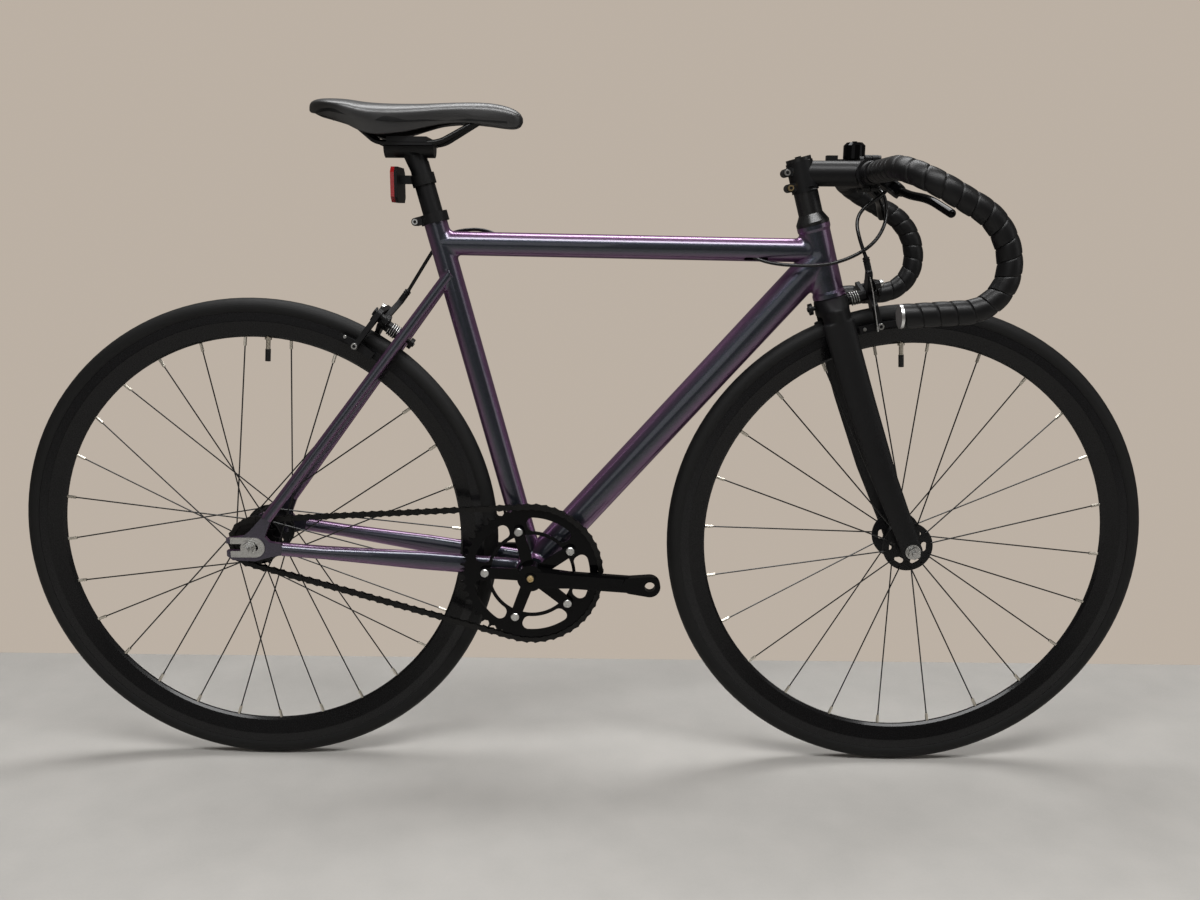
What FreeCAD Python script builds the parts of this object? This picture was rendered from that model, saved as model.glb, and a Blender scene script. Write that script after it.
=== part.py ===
import FreeCAD, Part
import Sketcher
import math
import os
from types import SimpleNamespace
from FreeCAD import Matrix, Placement, Rotation, Vector

# Fixed gear track bike, millimetres and degrees.
# +X points forward, +Y to the rider's left, +Z up; the origin is on the ground, halfway between the
# two tyre contacts, in the plane of the wheels.

sizes = [
    # whole bike
    ("wheel_radius", 336, "axle height, 700 x 25 tyre"),
    ("wheelbase", 913, "rear axle to front axle"),
    ("bb_drop", 42, "bottom bracket below the axles"),
    ("head_angle", 74.4, "steering axis from the ground"),
    ("fork_rake", 24.2, "front axle ahead of the steering axis"),
    ("fork_length", 363.5, "crown seat to the foot of the rake"),
    ("seat_angle", 74.85, "seat tube from the ground"),
    ("fit_gap", 0.05, "radial running clearance"),
    ("part_gap", 0.4, "gap between pieces that move past each other"),
    ("overrun", 2, "how far a cutter passes its face"),
    # frame tubes
    ("head_tube_length", 99.5, ""),
    ("head_tube_radius", 20.8, ""),
    ("head_ring_radius", 22.2, "thickened tube ends"),
    ("head_ring_length", 9, ""),
    ("head_bore_radius", 17.4, ""),
    ("seat_tube_length", 509.7, "bottom bracket centre to tube top"),
    ("seat_tube_radius", 15.9, ""),
    ("top_tube_radius", 15.9, ""),
    ("top_tube_seat_drop", 39.7, "top tube axis below the seat tube top"),
    ("top_tube_head_drop", 35.4, "top tube axis below the head tube top"),
    ("down_tube_radius", 21.8, ""),
    ("down_tube_head_drop", 45, "down tube axis below the head tube top"),
    ("tube_wall", 1.8, ""),
    ("port_length", 26, "cable port in the top tube"),
    ("port_width", 7, ""),
    ("front_port_behind", 65, "port middle behind the head tube"),
    ("rear_port_ahead", 57.2, "port middle ahead of the seat tube"),
    ("bb_shell_radius", 21, ""),
    ("bb_shell_length", 68, ""),
    ("bb_bore_radius", 17, ""),
    # stays and dropouts
    ("rear_spacing", 120, "between the dropouts"),
    ("dropout_thick", 7, ""),
    ("dropout_length", 76, "rear tip to chainstay end"),
    ("dropout_back", 31, "rear tip behind the axle"),
    ("dropout_height", 62, "lower edge to seatstay end"),
    ("dropout_below", 20, "lower edge below the axle"),
    ("slot_ahead", 13, "closed slot end ahead of the axle"),
    ("axle_plate_thick", 1.6, ""),
    ("axle_plate_length", 47, ""),
    ("axle_plate_height", 28, ""),
    ("chainstay_end_radius", 9.4, "at the dropout"),
    ("chainstay_tall", 13.4, "half height of the oval middle"),
    ("chainstay_thin", 7.8, "half width of the oval middle"),
    ("chainstay_wall", 1.6, ""),
    ("chainstay_bb_side", 20, "stay axis off the centre plane at the shell"),
    ("seatstay_radius", 7.2, ""),
    ("seatstay_top_side", 10.5, "stay axis off the centre plane at the seat tube"),
    ("seatstay_top_drop", 82, "stay axis below the seat tube top"),
    ("bridge_radius", 6.5, ""),
    # seat clamp and headset
    ("clamp_height", 13, ""),
    ("clamp_wall", 3.2, ""),
    ("clamp_lip", 1, "clamp above the tube top"),
    ("clamp_ear_back", 11, "ear bolt behind the clamp wall"),
    ("clamp_ear_radius", 5.4, ""),
    ("clamp_ear_width", 22, ""),
    ("clamp_slit", 2, ""),
    ("clamp_bolt_radius", 2.5, ""),
    ("clamp_head_radius", 4.1, ""),
    ("clamp_head_height", 3.4, ""),
    ("bearing_height", 8, ""),
    ("cup_length", 16, "bottom bracket cups"),
    ("cover_height", 15, "conical headset cover"),
    ("cover_rim", 4, "its straight lower rim"),
    ("spacer_height", 10, ""),
    ("spacer_count", 3, ""),
    ("spacer_radius", 16.2, ""),
    ("steerer_radius", 14.3, ""),
    ("steerer_wall", 2.2, ""),
    ("steerer_short", 2, "steerer end below the stem top"),
    ("cap_height", 5, ""),
    ("cap_radius", 16.8, ""),
    # fork
    ("crown_depth", 45, "fore and aft, below the head tube"),
    ("crown_width", 84, ""),
    ("crown_shoulder", 16, "seat to the widest section"),
    ("crown_skirt", 16, "straight part below it"),
    ("crown_gap_width", 40, "room for the tyre"),
    ("crown_tyre_gap", 8, ""),
    ("crown_bolt_drop", 9.5, "brake bolt below the crown seat"),
    ("blade_thick", 21, "at the crown"),
    ("blade_tip_thick", 9, ""),
    ("blade_depth", 43, "at the crown"),
    ("blade_tip_depth", 29, ""),
    ("front_spacing", 100, "between the fork tips"),
    ("tip_thick", 7, ""),
    ("tip_radius", 14.5, ""),
    # stem, bar and tape
    ("stem_height", 40, "along the steerer"),
    ("stem_radius", 18, ""),
    ("stem_reach", 88, "steering axis to bar centre"),
    ("stem_arm_radius", 16.8, ""),
    ("stem_arm_drop", 15.5, "arm axis below the stem top, along the steerer"),
    ("stem_clamp_radius", 19.4, ""),
    ("stem_clamp_width", 42, ""),
    ("stem_split", 1.6, "gap behind the faceplate"),
    ("stem_ear_radius", 5.6, ""),
    ("stem_ear_back", 20.5, ""),
    ("stem_ear_width", 25, ""),
    ("stem_ear_spread", 20.5, "between the two clamp bolts"),
    ("stem_bolt_radius", 2.4, ""),
    ("stem_bolt_short", 2, "bolt end inside its ear"),
    ("stem_head_radius", 4.2, ""),
    ("stem_head_height", 4, ""),
    ("face_bolt_side", 15.5, ""),
    ("face_bolt_up", 19, ""),
    ("face_ear_radius", 4.6, ""),
    ("face_ear_length", 17, ""),
    ("bar_clamp_radius", 15.9, ""),
    ("bar_clamp_half", 24, "half length of the thick middle"),
    ("bar_cone_half", 32, "where the cone ends"),
    ("bar_radius", 11.9, ""),
    ("bar_wall", 2, ""),
    ("bar_width", 400, "centre to centre at the drops"),
    ("bar_bend", 60, "radius of the outer bend"),
    ("bar_slope", 29, "forward slope after the bend, degrees"),
    ("bar_ramp", 36, "straight ramp"),
    ("bar_hook_upper", 80, "hook radius, upper"),
    ("bar_hook_lower", 52, "hook radius, lower"),
    ("bar_drop_slope", 4, "drop slopes down to the rear, degrees"),
    ("bar_drop_length", 74, ""),
    ("tape_thick", 2.9, ""),
    ("tape_start", 55, "off the centre plane"),
    ("plug_radius", 14.4, ""),
    ("plug_thick", 3.5, ""),
    ("plug_stem", 14, ""),
    # brake levers
    ("lever_slope", 40, "lever plane below the horizontal, degrees"),
    ("lever_ring_side", 38, "ring centre off the centre plane"),
    ("lever_ring_width", 12, ""),
    ("lever_ring_wall", 3, ""),
    ("lever_pivot_side", 52, ""),
    ("lever_pivot_ahead", 34, ""),
    ("lever_boss_radius", 8.5, ""),
    ("lever_thick", 9, ""),
    ("lever_cheek", 3, ""),
    ("lever_pin_radius", 2.5, ""),
    ("lever_blade_radius", 5.3, ""),
    ("lever_neck", 10.5, "flat neck from the pivot"),
    ("lever_knee_side", 84, ""),
    ("lever_knee_ahead", 47, ""),
    ("lever_bow_side", 122, ""),
    ("lever_bow_ahead", 60, ""),
    ("lever_bow_up", 4, "rise of the blade's middle"),
    ("lever_tip_side", 165, ""),
    ("lever_tip_ahead", 83, ""),
    ("ferrule_radius", 3.4, ""),
    ("ferrule_length", 8, ""),
    # bell
    ("bell_side", 51, "off the centre plane"),
    ("bell_back", 8, "behind the bar centre"),
    ("bell_radius", 14.8, ""),
    ("bell_height", 22, ""),
    ("bell_wall", 1.6, ""),
    ("bell_round", 4, ""),
    ("bell_strap_width", 7, ""),
    ("bell_strap_wall", 2.5, ""),
    ("bell_post_radius", 4, ""),
    ("bell_screw_radius", 3.4, ""),
    ("bell_tab_length", 38, "tab end behind the bell centre"),
    ("bell_thumb_length", 15, "thumb block"),
    ("bell_thumb_height", 5, ""),
    ("bell_tab_width", 11, ""),
    ("bell_tab_thick", 3, ""),
    # brake calipers
    ("brake_reach", 43, "bolt to pad centre"),
    ("brake_spacer", 20, "bracket ahead of the frame"),
    ("brake_plate", 5, "bracket thickness"),
    ("brake_arm", 7, "arm thickness"),
    ("brake_boss", 8, "boss radius"),
    ("brake_shaft", 4, "pivot radius"),
    ("brake_cap", 2, "pivot cap thickness"),
    ("brake_cap_gap", 2, "pivot caps off the arms"),
    ("brake_stud", 3, "mounting stud radius"),
    ("stud_gap", 4, "stud nut behind the frame"),
    ("stud_tail", 2, "stud past its nut"),
    ("brake_cable_side", 33, "cable off the bolt"),
    ("brake_adjuster_up", 31, "adjuster arm end above the bolt"),
    ("brake_anchor_up", 13, "anchor arm end above the bolt"),
    ("brake_pivot_side", 20, "side pivot off the bolt"),
    ("brake_pivot_up", 10, "side pivot above the bolt"),
    ("brake_elbow_side", 25, "outer elbow of an arm"),
    ("brake_elbow_down", 16, ""),
    ("brake_leg_radius", 5.5, ""),
    ("pad_gap", 2, "pad to rim"),
    ("pad_edge", 1.8, "pad inside the rim edge"),
    ("pad_length", 50, ""),
    ("pad_height", 9, ""),
    ("pad_thick", 5, ""),
    ("shoe_thick", 4, ""),
    ("shoe_extra", 1, "holder past the pad"),
    ("pad_bolt_radius", 2.6, ""),
    ("pad_head_radius", 4.4, ""),
    ("pad_head_height", 3.5, ""),
    ("adjuster_radius", 4.4, ""),
    ("adjuster_length", 13, ""),
    ("adjuster_bore", 2.8, ""),
    ("anchor_radius", 4.5, ""),
    ("anchor_height", 5, ""),
    # cables
    ("housing_radius", 2.4, ""),
    ("wire_radius", 0.7, ""),
    ("boot_radius", 4.6, ""),
    ("boot_length", 9, ""),
    # wheels
    ("tyre_width", 25, ""),
    ("tyre_wall", 2.3, ""),
    ("tyre_bead", 4, "bead depth inside the rim edge"),
    ("rim_radius", 317, "outer edge"),
    ("rim_width", 20.4, ""),
    ("rim_depth", 34.5, ""),
    ("rim_wall", 1.4, ""),
    ("rim_bed", 5.5, "tyre bed below the edge"),
    ("rim_track", 12.5, "brake track height"),
    ("rim_nose", 9.4, "width at the spoke bed"),
    ("rim_nose_round", 3, ""),
    ("spoke_radius", 1, ""),
    ("nipple_radius", 2.2, ""),
    ("nipple_length", 12, ""),
    ("front_spokes", 24, ""),
    ("rear_spokes", 28, ""),
    ("flange_radius", 34.75, ""),
    ("flange_thick", 3.4, ""),
    ("flange_offset", 31, "flange middle off the centre plane"),
    ("spoke_circle", 30.6, "radius of the spoke holes"),
    ("flange_window_circle", 22.2, ""),
    ("flange_window_radius", 3.9, ""),
    ("flange_window_half", 3.2, ""),
    ("flange_windows", 6, ""),
    ("hub_radius", 13, ""),
    ("hub_end_radius", 11.5, ""),
    ("hub_root", 7, "cone length beside a flange"),
    ("front_hub_end", 45.5, ""),
    ("rear_hub_end", 55.5, ""),
    ("front_axle_radius", 4.5, ""),
    ("rear_axle_radius", 5, ""),
    ("cone_radius", 8.5, "locknuts on the axle"),
    ("nut_flats", 15, "across flats"),
    ("nut_height", 9, ""),
    ("washer_radius", 10.5, ""),
    ("washer_thick", 2, ""),
    ("axle_tail", 5.5, "axle past its nut"),
    ("axle_step", 0.4, "that end is turned down by this"),
    ("valve_radius", 3, ""),
    ("valve_length", 33, "below the rim"),
    ("valve_nut_radius", 4.8, ""),
    ("valve_nut_height", 3, ""),
    ("valve_cap_radius", 3.7, ""),
    ("valve_cap_length", 17, ""),
    ("front_valve_angle", 93.9, "from +X towards +Z"),
    ("rear_valve_angle", 85.7, ""),
    # drive train
    ("chain_pitch", 12.7, ""),
    ("chain_links", 94, ""),
    ("chain_line", 43, "ring middle off the centre plane"),
    ("ring_teeth", 48, ""),
    ("cog_teeth", 16, ""),
    ("tooth_thick", 2.8, ""),
    ("tooth_tip", 3.1, "tip above the pitch circle"),
    ("tooth_half", 0.9, "half width of a tip"),
    ("seat_radius", 4.6, "roller seat"),
    ("roller_radius", 3.8, ""),
    ("pin_radius", 1.7, ""),
    ("pin_room", 1.85, "half width of the square pin hole"),
    ("plate_radius", 4.2, ""),
    ("plate_thick", 1, ""),
    ("inner_half", 1.75, "half the gap between inner plates"),
    ("plate_gap", 0.12, ""),
    ("ring_rim", 82, "inner radius of the toothed rim"),
    ("ring_inner", 57.5, "inner radius of the ring"),
    ("ring_inner_rim", 62, "outer radius of the thin inner rim"),
    ("ring_web_half", 13, "half width of a web at a bolt"),
    ("bolt_circle", 65, "chainring bolts"),
    ("ring_arms", 5, ""),
    ("ring_bolt_radius", 4.2, ""),
    ("ring_head_radius", 5.6, ""),
    ("ring_head_height", 1.6, ""),
    ("cog_bore", 17, ""),
    ("lockring_radius", 20.5, ""),
    ("lockring_thick", 4, ""),
    ("crank_length", 165, ""),
    ("crank_angle", -2.6, "right arm from +X towards +Z, degrees"),
    ("crank_side", 57, "arm middle off the centre plane at the spindle"),
    ("crank_flare", 10, "further out at the pedal"),
    ("crank_width", 30, "at the spindle"),
    ("crank_tip_width", 23, ""),
    ("crank_thick", 14, ""),
    ("crank_tip_thick", 11.5, ""),
    ("crank_boss_radius", 18.5, ""),
    ("crank_shell_gap", 4, "boss beside the bottom bracket shell"),
    ("crank_eye_radius", 14.6, ""),
    ("crank_eye_lead", 26, "the end widens over this length"),
    ("crank_eye_thick", 13, ""),
    ("pedal_radius", 7, "pedal thread"),
    ("spider_thick", 6, ""),
    ("spider_root", 8.5, "half width near the boss"),
    ("spider_tip", 7.5, "half width at a bolt"),
    ("spindle_radius", 8.5, ""),
    ("crank_bolt_radius", 7.2, ""),
    ("crank_bolt_height", 6, ""),
    # seatpost and saddle
    ("post_radius", 13.6, ""),
    ("post_wall", 2, ""),
    ("post_up", 68, "post top above the seat tube top"),
    ("post_down", 110, "post below the seat tube top"),
    ("head_back", 11, "cradle centre behind the post axis"),
    ("head_up", 22, "cradle centre above the post top"),
    ("cradle_length", 66, ""),
    ("cradle_radius", 15, ""),
    ("cradle_width", 40, ""),
    ("rail_radius", 3.5, ""),
    ("rail_side", 22, "rail off the centre plane"),
    ("rail_nose_drop", 18, "rail end below the saddle top"),
    ("rail_tail_drop", 17, ""),
    ("saddle_length", 280, ""),
    ("saddle_width", 142, ""),
    ("saddle_nose_width", 40, ""),
    ("saddle_rise", 51.9, "top above the rails"),
    ("saddle_tail", 95, "tail ahead of the rear axle"),
    ("saddle_depth", 36, "top to skirt at the tail"),
    ("saddle_crown", 7, "rise of the middle over the edges"),
    ("shell_thick", 3, ""),
    ("reflector_width", 60, ""),
    ("reflector_height", 46, ""),
    ("reflector_corner", 7, "cut corners"),
    ("reflector_thick", 9, ""),
    ("reflector_lens", 5, ""),
    ("reflector_back", 39, "lens face behind the post axis"),
    ("reflector_up", 46, "bracket above the seat tube top"),
    ("bracket_height", 14, ""),
    ("bracket_wall", 2.5, ""),
    ("bracket_arm", 11, ""),
]

doc = FreeCAD.newDocument("FixedGearBike")
sheet = doc.addObject("Spreadsheet::Sheet", "Sizes")
for row, (name, value, note) in enumerate(sizes, 1):
    sheet.set("A%d" % row, name)
    sheet.set("B%d" % row, str(value))
    sheet.set("C%d" % row, note)
    sheet.setAlias("B%d" % row, name)
doc.recompute()
d = SimpleNamespace(**{name: float(sheet.get(name)) for name, value, note in sizes})

UP = Vector(0, 0, 1)
LEFT = Vector(0, 1, 0)
RIGHT = Vector(0, -1, 0)
AHEAD = Vector(1, 0, 0)
nodes = []


def keep(label, item):
    item.Label = label
    nodes.append(item)
    return item


def feature(label, shape):
    item = doc.addObject("Part::Feature", label)
    item.Shape = shape
    return keep(label, item)


def group(label, items):
    item = doc.addObject("Part::Compound", label)
    item.Links = items
    return keep(label, item)


def shape_of(name, shape):
    item = doc.addObject("Part::Feature", name)
    item.Shape = shape
    return item


def frame_at(origin, ahead, up):
    side = up.cross(ahead)
    return Placement(Matrix(
        ahead.x, side.x, up.x, origin.x,
        ahead.y, side.y, up.y, origin.y,
        ahead.z, side.z, up.z, origin.z,
        0, 0, 0, 1))


def turned_by(vector, axis, degrees):
    return Rotation(axis, degrees).multVec(vector)


def in_plane(degrees):
    angle = math.radians(degrees)
    return Vector(math.cos(angle), 0, math.sin(angle))


# parametric primitives, with radii bound to the sheet
def rod(name, radius, start, end):
    item = doc.addObject("Part::Cylinder", name)
    item.setExpression("Radius", radius)
    item.Height = (end - start).Length
    item.Placement = Placement(start, Rotation(UP, end - start))
    return item


def torus(name, centre, major, minor):
    item = doc.addObject("Part::Torus", name)
    item.setExpression("Radius1", major)
    item.setExpression("Radius2", minor)
    item.Placement = Placement(centre, Rotation(UP, LEFT))
    return item


def cut(name, base, tools):
    for number, tool in enumerate(tools):
        item = doc.addObject("Part::Cut", "%s_cut%d" % (name, number))
        item.Base = base
        item.Tool = tool
        base = item
    return base


def tube(name, radius, wall, start, end):
    outer = rod(name + "_outer", radius, start, end)
    inner = rod(name + "_inner", "%s - (%s)" % (radius, wall), start, end)
    return cut(name + "_wall", outer, [inner])


def mirrored(name, item):
    other = doc.addObject("Part::Mirroring", name)
    other.Source = item
    other.Normal = LEFT
    other.Base = Vector()
    return other


# a turned piece: closed outlines of (radius, place along the axis), both bound to the sheet
def turned(name, outlines, placement):
    body = doc.addObject("PartDesign::Body", name)
    sketch = body.newObject("Sketcher::SketchObject", name + "_outline")
    plane = [item for item in body.Origin.OriginFeatures if item.Role == "XY_Plane"][0]
    sketch.AttachmentSupport = [(plane, "")]
    sketch.MapMode = "FlatFace"
    first = 0
    for outline in outlines:
        places = [Vector(sheet.evalExpression(x), sheet.evalExpression(y), 0) for x, y in outline]
        count = len(places)
        for i in range(count):
            sketch.addGeometry(Part.LineSegment(places[i], places[(i + 1) % count]), False)
        for i in range(count):
            joint = ("Coincident", first + i, 2, first + (i + 1) % count, 1)
            sketch.addConstraint(Sketcher.Constraint(*joint))
        for i, texts in enumerate(outline):
            for kind, text, place in zip(("DistanceX", "DistanceY"), texts, places[i]):
                index = sketch.addConstraint(Sketcher.Constraint(kind, -1, 1, first + i, 1, place))
                sketch.setExpression("Constraints[%d]" % index, text)
        first += count
    spin = body.newObject("PartDesign::Revolution", name + "_turn")
    spin.Profile = sketch
    spin.ReferenceAxis = (sketch, ["V_Axis"])
    spin.Angle = 360
    body.Placement = placement
    return body


def bound(text):
    words = text.replace("(", " ( ").replace(")", " ) ").split()
    return " ".join("Sizes." + word if word[0].isalpha() else word for word in words)


def outline(*points):
    return [(bound(x), bound(y)) for x, y in points]


# solids made in code
def bar(radius, start, end):
    return Part.makeCylinder(radius, (end - start).Length, start, end - start)


def ring(outer, inner, start, end):
    return bar(outer, start, end).cut(bar(inner, start, end))


def prism(points, depth):
    return Part.Face(Part.makePolygon(points + points[:1])).extrude(depth)


def regular(centre, across, up, radius, count, depth, turn=0):
    points = []
    for i in range(count):
        angle = math.radians(turn + 360 * i / count)
        points.append(centre + across * (radius * math.cos(angle)) + up * (radius * math.sin(angle)))
    return prism(points, depth)


def fused(shapes):
    return shapes[0].multiFuse(shapes[1:]).removeSplitter()


# a flat bar with round ends: one or two radii, between two points of a plane
def link(start, end, start_radius, end_radius, depth):
    along = (end - start).normalize()
    across = depth.cross(along).normalize()
    reach = (end - start).Length
    lean = math.asin((start_radius - end_radius) / reach)
    edges = []
    marks = []
    for centre, radius, sign in ((start, start_radius, 1), (end, end_radius, 1),
                                 (end, end_radius, -1), (start, start_radius, -1)):
        turn = across * (sign * math.cos(lean)) + along * math.sin(lean)
        marks.append(centre + turn * radius)
    edges.append(Part.LineSegment(marks[0], marks[1]).toShape())
    edges.append(Part.Arc(marks[1], end + along * end_radius, marks[2]).toShape())
    edges.append(Part.LineSegment(marks[2], marks[3]).toShape())
    edges.append(Part.Arc(marks[3], start - along * start_radius, marks[0]).toShape())
    return Part.Face(Part.Wire(edges)).extrude(depth)


def oval(centre, wide_axis, tall_axis, wide, tall, tall_first):
    near_round_share = 0.9995
    if tall_first:
        small = min(wide, tall * near_round_share)
        curve = Part.Ellipse(centre + tall_axis * tall, centre - wide_axis * small, centre)
    else:
        small = min(tall, wide * near_round_share)
        curve = Part.Ellipse(centre + wide_axis * wide, centre + tall_axis * small, centre)
    return Part.Wire([curve.toShape()])


# a path of straight runs and tangent arcs, walked from a start in a heading
def walk(start, heading, steps):
    edges = []
    place = start
    for step in steps:
        if step[0] == "run":
            goal = place + heading * step[1]
            edges.append(Part.LineSegment(place, goal).toShape())
        else:
            kind, axis, radius, angle = step
            hub = place + axis.cross(heading) * radius
            spoke = place - hub
            middle = hub + turned_by(spoke, axis, angle / 2)
            goal = hub + turned_by(spoke, axis, angle)
            edges.append(Part.Arc(place, middle, goal).toShape())
            heading = turned_by(heading, axis, angle)
        place = goal
    return Part.Wire(edges), place, heading


# a cord through points: each corner gets the largest arc that its two runs leave room for
def cord_path(points, bend_share=0.45):
    edges = []
    place = points[0]
    for before, corner, after in zip(points, points[1:], points[2:]):
        come = (corner - before).normalize()
        go = (after - corner).normalize()
        turn = come.getAngle(go)
        trim = bend_share * min((corner - before).Length, (after - corner).Length)
        first = corner - come * trim
        last = corner + go * trim
        radius = trim / math.tan(turn / 2)
        bisector = (go - come).normalize()
        hub = corner + bisector * math.hypot(radius, trim)
        edges.append(Part.LineSegment(place, first).toShape())
        edges.append(Part.Arc(first, hub - bisector * radius, last).toShape())
        radii.append(radius)
        place = last
    edges.append(Part.LineSegment(place, points[-1]).toShape())
    return Part.Wire(edges)


def swept(path, radius, hollow=0):
    pieces = []
    for edge in path.OrderedEdges:
        first = edge.valueAt(edge.FirstParameter)
        heading = edge.tangentAt(edge.FirstParameter)
        if isinstance(edge.Curve, Part.Line):
            last = edge.valueAt(edge.LastParameter)
            piece = ring(radius, hollow, first, last) if hollow else bar(radius, first, last)
        else:
            face = Part.Face(Part.Wire([Part.Circle(first, heading, radius).toShape()]))
            if hollow:
                face = face.cut(Part.Face(Part.Wire([Part.Circle(first, heading, hollow).toShape()])))
            turn = math.degrees(edge.LastParameter - edge.FirstParameter)
            piece = face.revolve(edge.Curve.Center, edge.Curve.Axis, turn)
        pieces.extend(piece.Solids)
    return fused(pieces)


radii = []

# main points of the bike
rear_axle = Vector(-d.wheelbase / 2, 0, d.wheel_radius)
front_axle = Vector(d.wheelbase / 2, 0, d.wheel_radius)
ring_pitch = d.chain_pitch / (2 * math.sin(math.pi / d.ring_teeth))
cog_pitch = d.chain_pitch / (2 * math.sin(math.pi / d.cog_teeth))


# length of the closed chain for a distance between ring and cog
def chain_length(distance):
    lean = math.asin((ring_pitch - cog_pitch) / distance)
    run = distance * math.cos(lean)
    ring_part = (math.pi + 2 * lean) / (2 * math.pi) * d.ring_teeth * d.chain_pitch
    cog_part = (math.pi - 2 * lean) / (2 * math.pi) * d.cog_teeth * d.chain_pitch
    return 2 * run + ring_part + cog_part


# the axle sits in its slots where the chain is just tight
near = ring_pitch + cog_pitch
far = d.chain_links * d.chain_pitch
for halving in range(80):
    middle = (near + far) / 2
    if chain_length(middle) < d.chain_links * d.chain_pitch:
        near = middle
    else:
        far = middle
stay_length = (near + far) / 2
bb = rear_axle + Vector(math.sqrt(stay_length ** 2 - d.bb_drop ** 2), 0, -d.bb_drop)
print("chainstay length %.2f" % stay_length)

head_lean = math.radians(d.head_angle)
steer_up = Vector(-math.cos(head_lean), 0, math.sin(head_lean))
steer_ahead = Vector(math.sin(head_lean), 0, math.cos(head_lean))
rake_foot = front_axle - steer_ahead * d.fork_rake
crown_seat = rake_foot + steer_up * d.fork_length
head_low = crown_seat + steer_up * d.part_gap
head_high = head_low + steer_up * d.head_tube_length
seat_lean = math.radians(d.seat_angle)
seat_up = Vector(-math.cos(seat_lean), 0, math.sin(seat_lean))
seat_top = bb + seat_up * d.seat_tube_length
top_tube_seat = seat_top - seat_up * d.top_tube_seat_drop
top_tube_head = head_high - steer_up * d.top_tube_head_drop
down_tube_head = head_high - steer_up * d.down_tube_head_drop
half_space = d.rear_spacing / 2
dropout_side = half_space + d.dropout_thick / 2

# frame tubes: each is mitred to the outside of the tube that it meets
steer_frame = Placement(head_low, Rotation(LEFT, steer_up))
head_tube = turned("head_tube", [outline(
    ("head_bore_radius", "0"),
    ("head_ring_radius", "0"),
    ("head_ring_radius", "head_ring_length * 0.6"),
    ("head_tube_radius", "head_ring_length"),
    ("head_tube_radius", "head_tube_length - head_ring_length"),
    ("head_ring_radius", "head_tube_length - head_ring_length * 0.6"),
    ("head_ring_radius", "head_tube_length"),
    ("head_bore_radius", "head_tube_length"))], steer_frame)
keep("head_tube", head_tube)

head_cutter = rod("head_cutter", "Sizes.head_tube_radius", head_low, head_high)
seat_cutter = rod("seat_cutter", "Sizes.seat_tube_radius", bb, seat_top)
shell_start = bb + RIGHT * (d.bb_shell_length / 2)
shell_end = bb + LEFT * (d.bb_shell_length / 2)
shell_cutter = rod("shell_cutter", "Sizes.bb_shell_radius", shell_start, shell_end)
top_cutter = rod("top_cutter", "Sizes.top_tube_radius", top_tube_seat, top_tube_head)
ring_cutters = []
for mark in (head_low, head_high - steer_up * d.head_ring_length):
    cutter = rod("head_ring_cutter", "Sizes.head_ring_radius", mark, mark + steer_up * d.head_ring_length)
    ring_cutters.append(cutter)

top_along = (top_tube_head - top_tube_seat).normalize()
top_up = RIGHT.cross(top_along)
port_front = top_tube_head - top_along * (d.head_tube_radius + d.front_port_behind)
port_rear = top_tube_seat + top_along * (d.seat_tube_radius + d.rear_port_ahead)
front_port_way = (RIGHT * 0.6 - top_up * 0.8).normalize()
rear_port_way = (LEFT * 0.5 + top_up * 0.87).normalize()
port_cutters = []
for place, way in ((port_front, front_port_way), (port_rear, rear_port_way)):
    depth = way * (d.top_tube_radius + d.overrun)
    slot = link(place - top_along * (d.port_length / 2), place + top_along * (d.port_length / 2),
                d.port_width / 2, d.port_width / 2, depth)
    port_cutters.append(shape_of("port_cutter", slot))
top_tube = tube("top_tube", "Sizes.top_tube_radius", "Sizes.tube_wall", top_tube_seat, top_tube_head)
keep("top_tube", cut("top_tube", top_tube, [head_cutter, seat_cutter] + port_cutters))

down_tube = tube("down_tube", "Sizes.down_tube_radius", "Sizes.tube_wall", bb, down_tube_head)
down_cutters = [head_cutter, shell_cutter, top_cutter, seat_cutter] + ring_cutters
keep("down_tube", cut("down_tube", down_tube, down_cutters))

seat_tube = tube("seat_tube", "Sizes.seat_tube_radius",
                 "Sizes.seat_tube_radius - Sizes.post_radius - Sizes.fit_gap", bb, seat_top)
keep("seat_tube", cut("seat_tube", seat_tube, [shell_cutter]))

shell_frame = Placement(bb, Rotation())
bb_shell = turned("bb_shell", [outline(
    ("bb_bore_radius", "0 - bb_shell_length / 2"),
    ("bb_shell_radius", "0 - bb_shell_length / 2"),
    ("bb_shell_radius", "bb_shell_length / 2"),
    ("bb_bore_radius", "bb_shell_length / 2"))], shell_frame)
keep("bb_shell", bb_shell)

# track-end dropouts, as shares of their length and height, ahead of the rear tip and above the lower edge
dropout_shares = [(0, 0.12), (0.1, 0.02), (0.5, 0), (0.86, 0.12), (1, 0.14), (1, 0.4), (0.78, 0.44),
                  (0.7, 0.56), (0.82, 0.93), (0.66, 1), (0.42, 0.68), (0.3, 0.57), (0, 0.52)]
dropout_corner = rear_axle + Vector(-d.dropout_back, -half_space, -d.dropout_below)
dropout_points = []
for ahead_share, up_share in dropout_shares:
    step = Vector(ahead_share * d.dropout_length, 0, up_share * d.dropout_height)
    dropout_points.append(dropout_corner + step)
slot_radius = d.rear_axle_radius + d.fit_gap
slot_end = rear_axle + AHEAD * (d.slot_ahead - slot_radius)
slot_mouth = rear_axle - AHEAD * (d.dropout_back + d.overrun + slot_radius)
slot_depth = LEFT * (d.rear_spacing + 4 * d.dropout_thick)
slot_start = RIGHT * (slot_depth.Length / 2)
slot = link(slot_mouth + slot_start, slot_end + slot_start, slot_radius, slot_radius, slot_depth)
dropout_right = prism(dropout_points, RIGHT * d.dropout_thick).cut(slot)
dropout_item = shape_of("dropout_right", dropout_right)
group("dropouts", [dropout_item, mirrored("dropout_left", dropout_item)])

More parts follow.
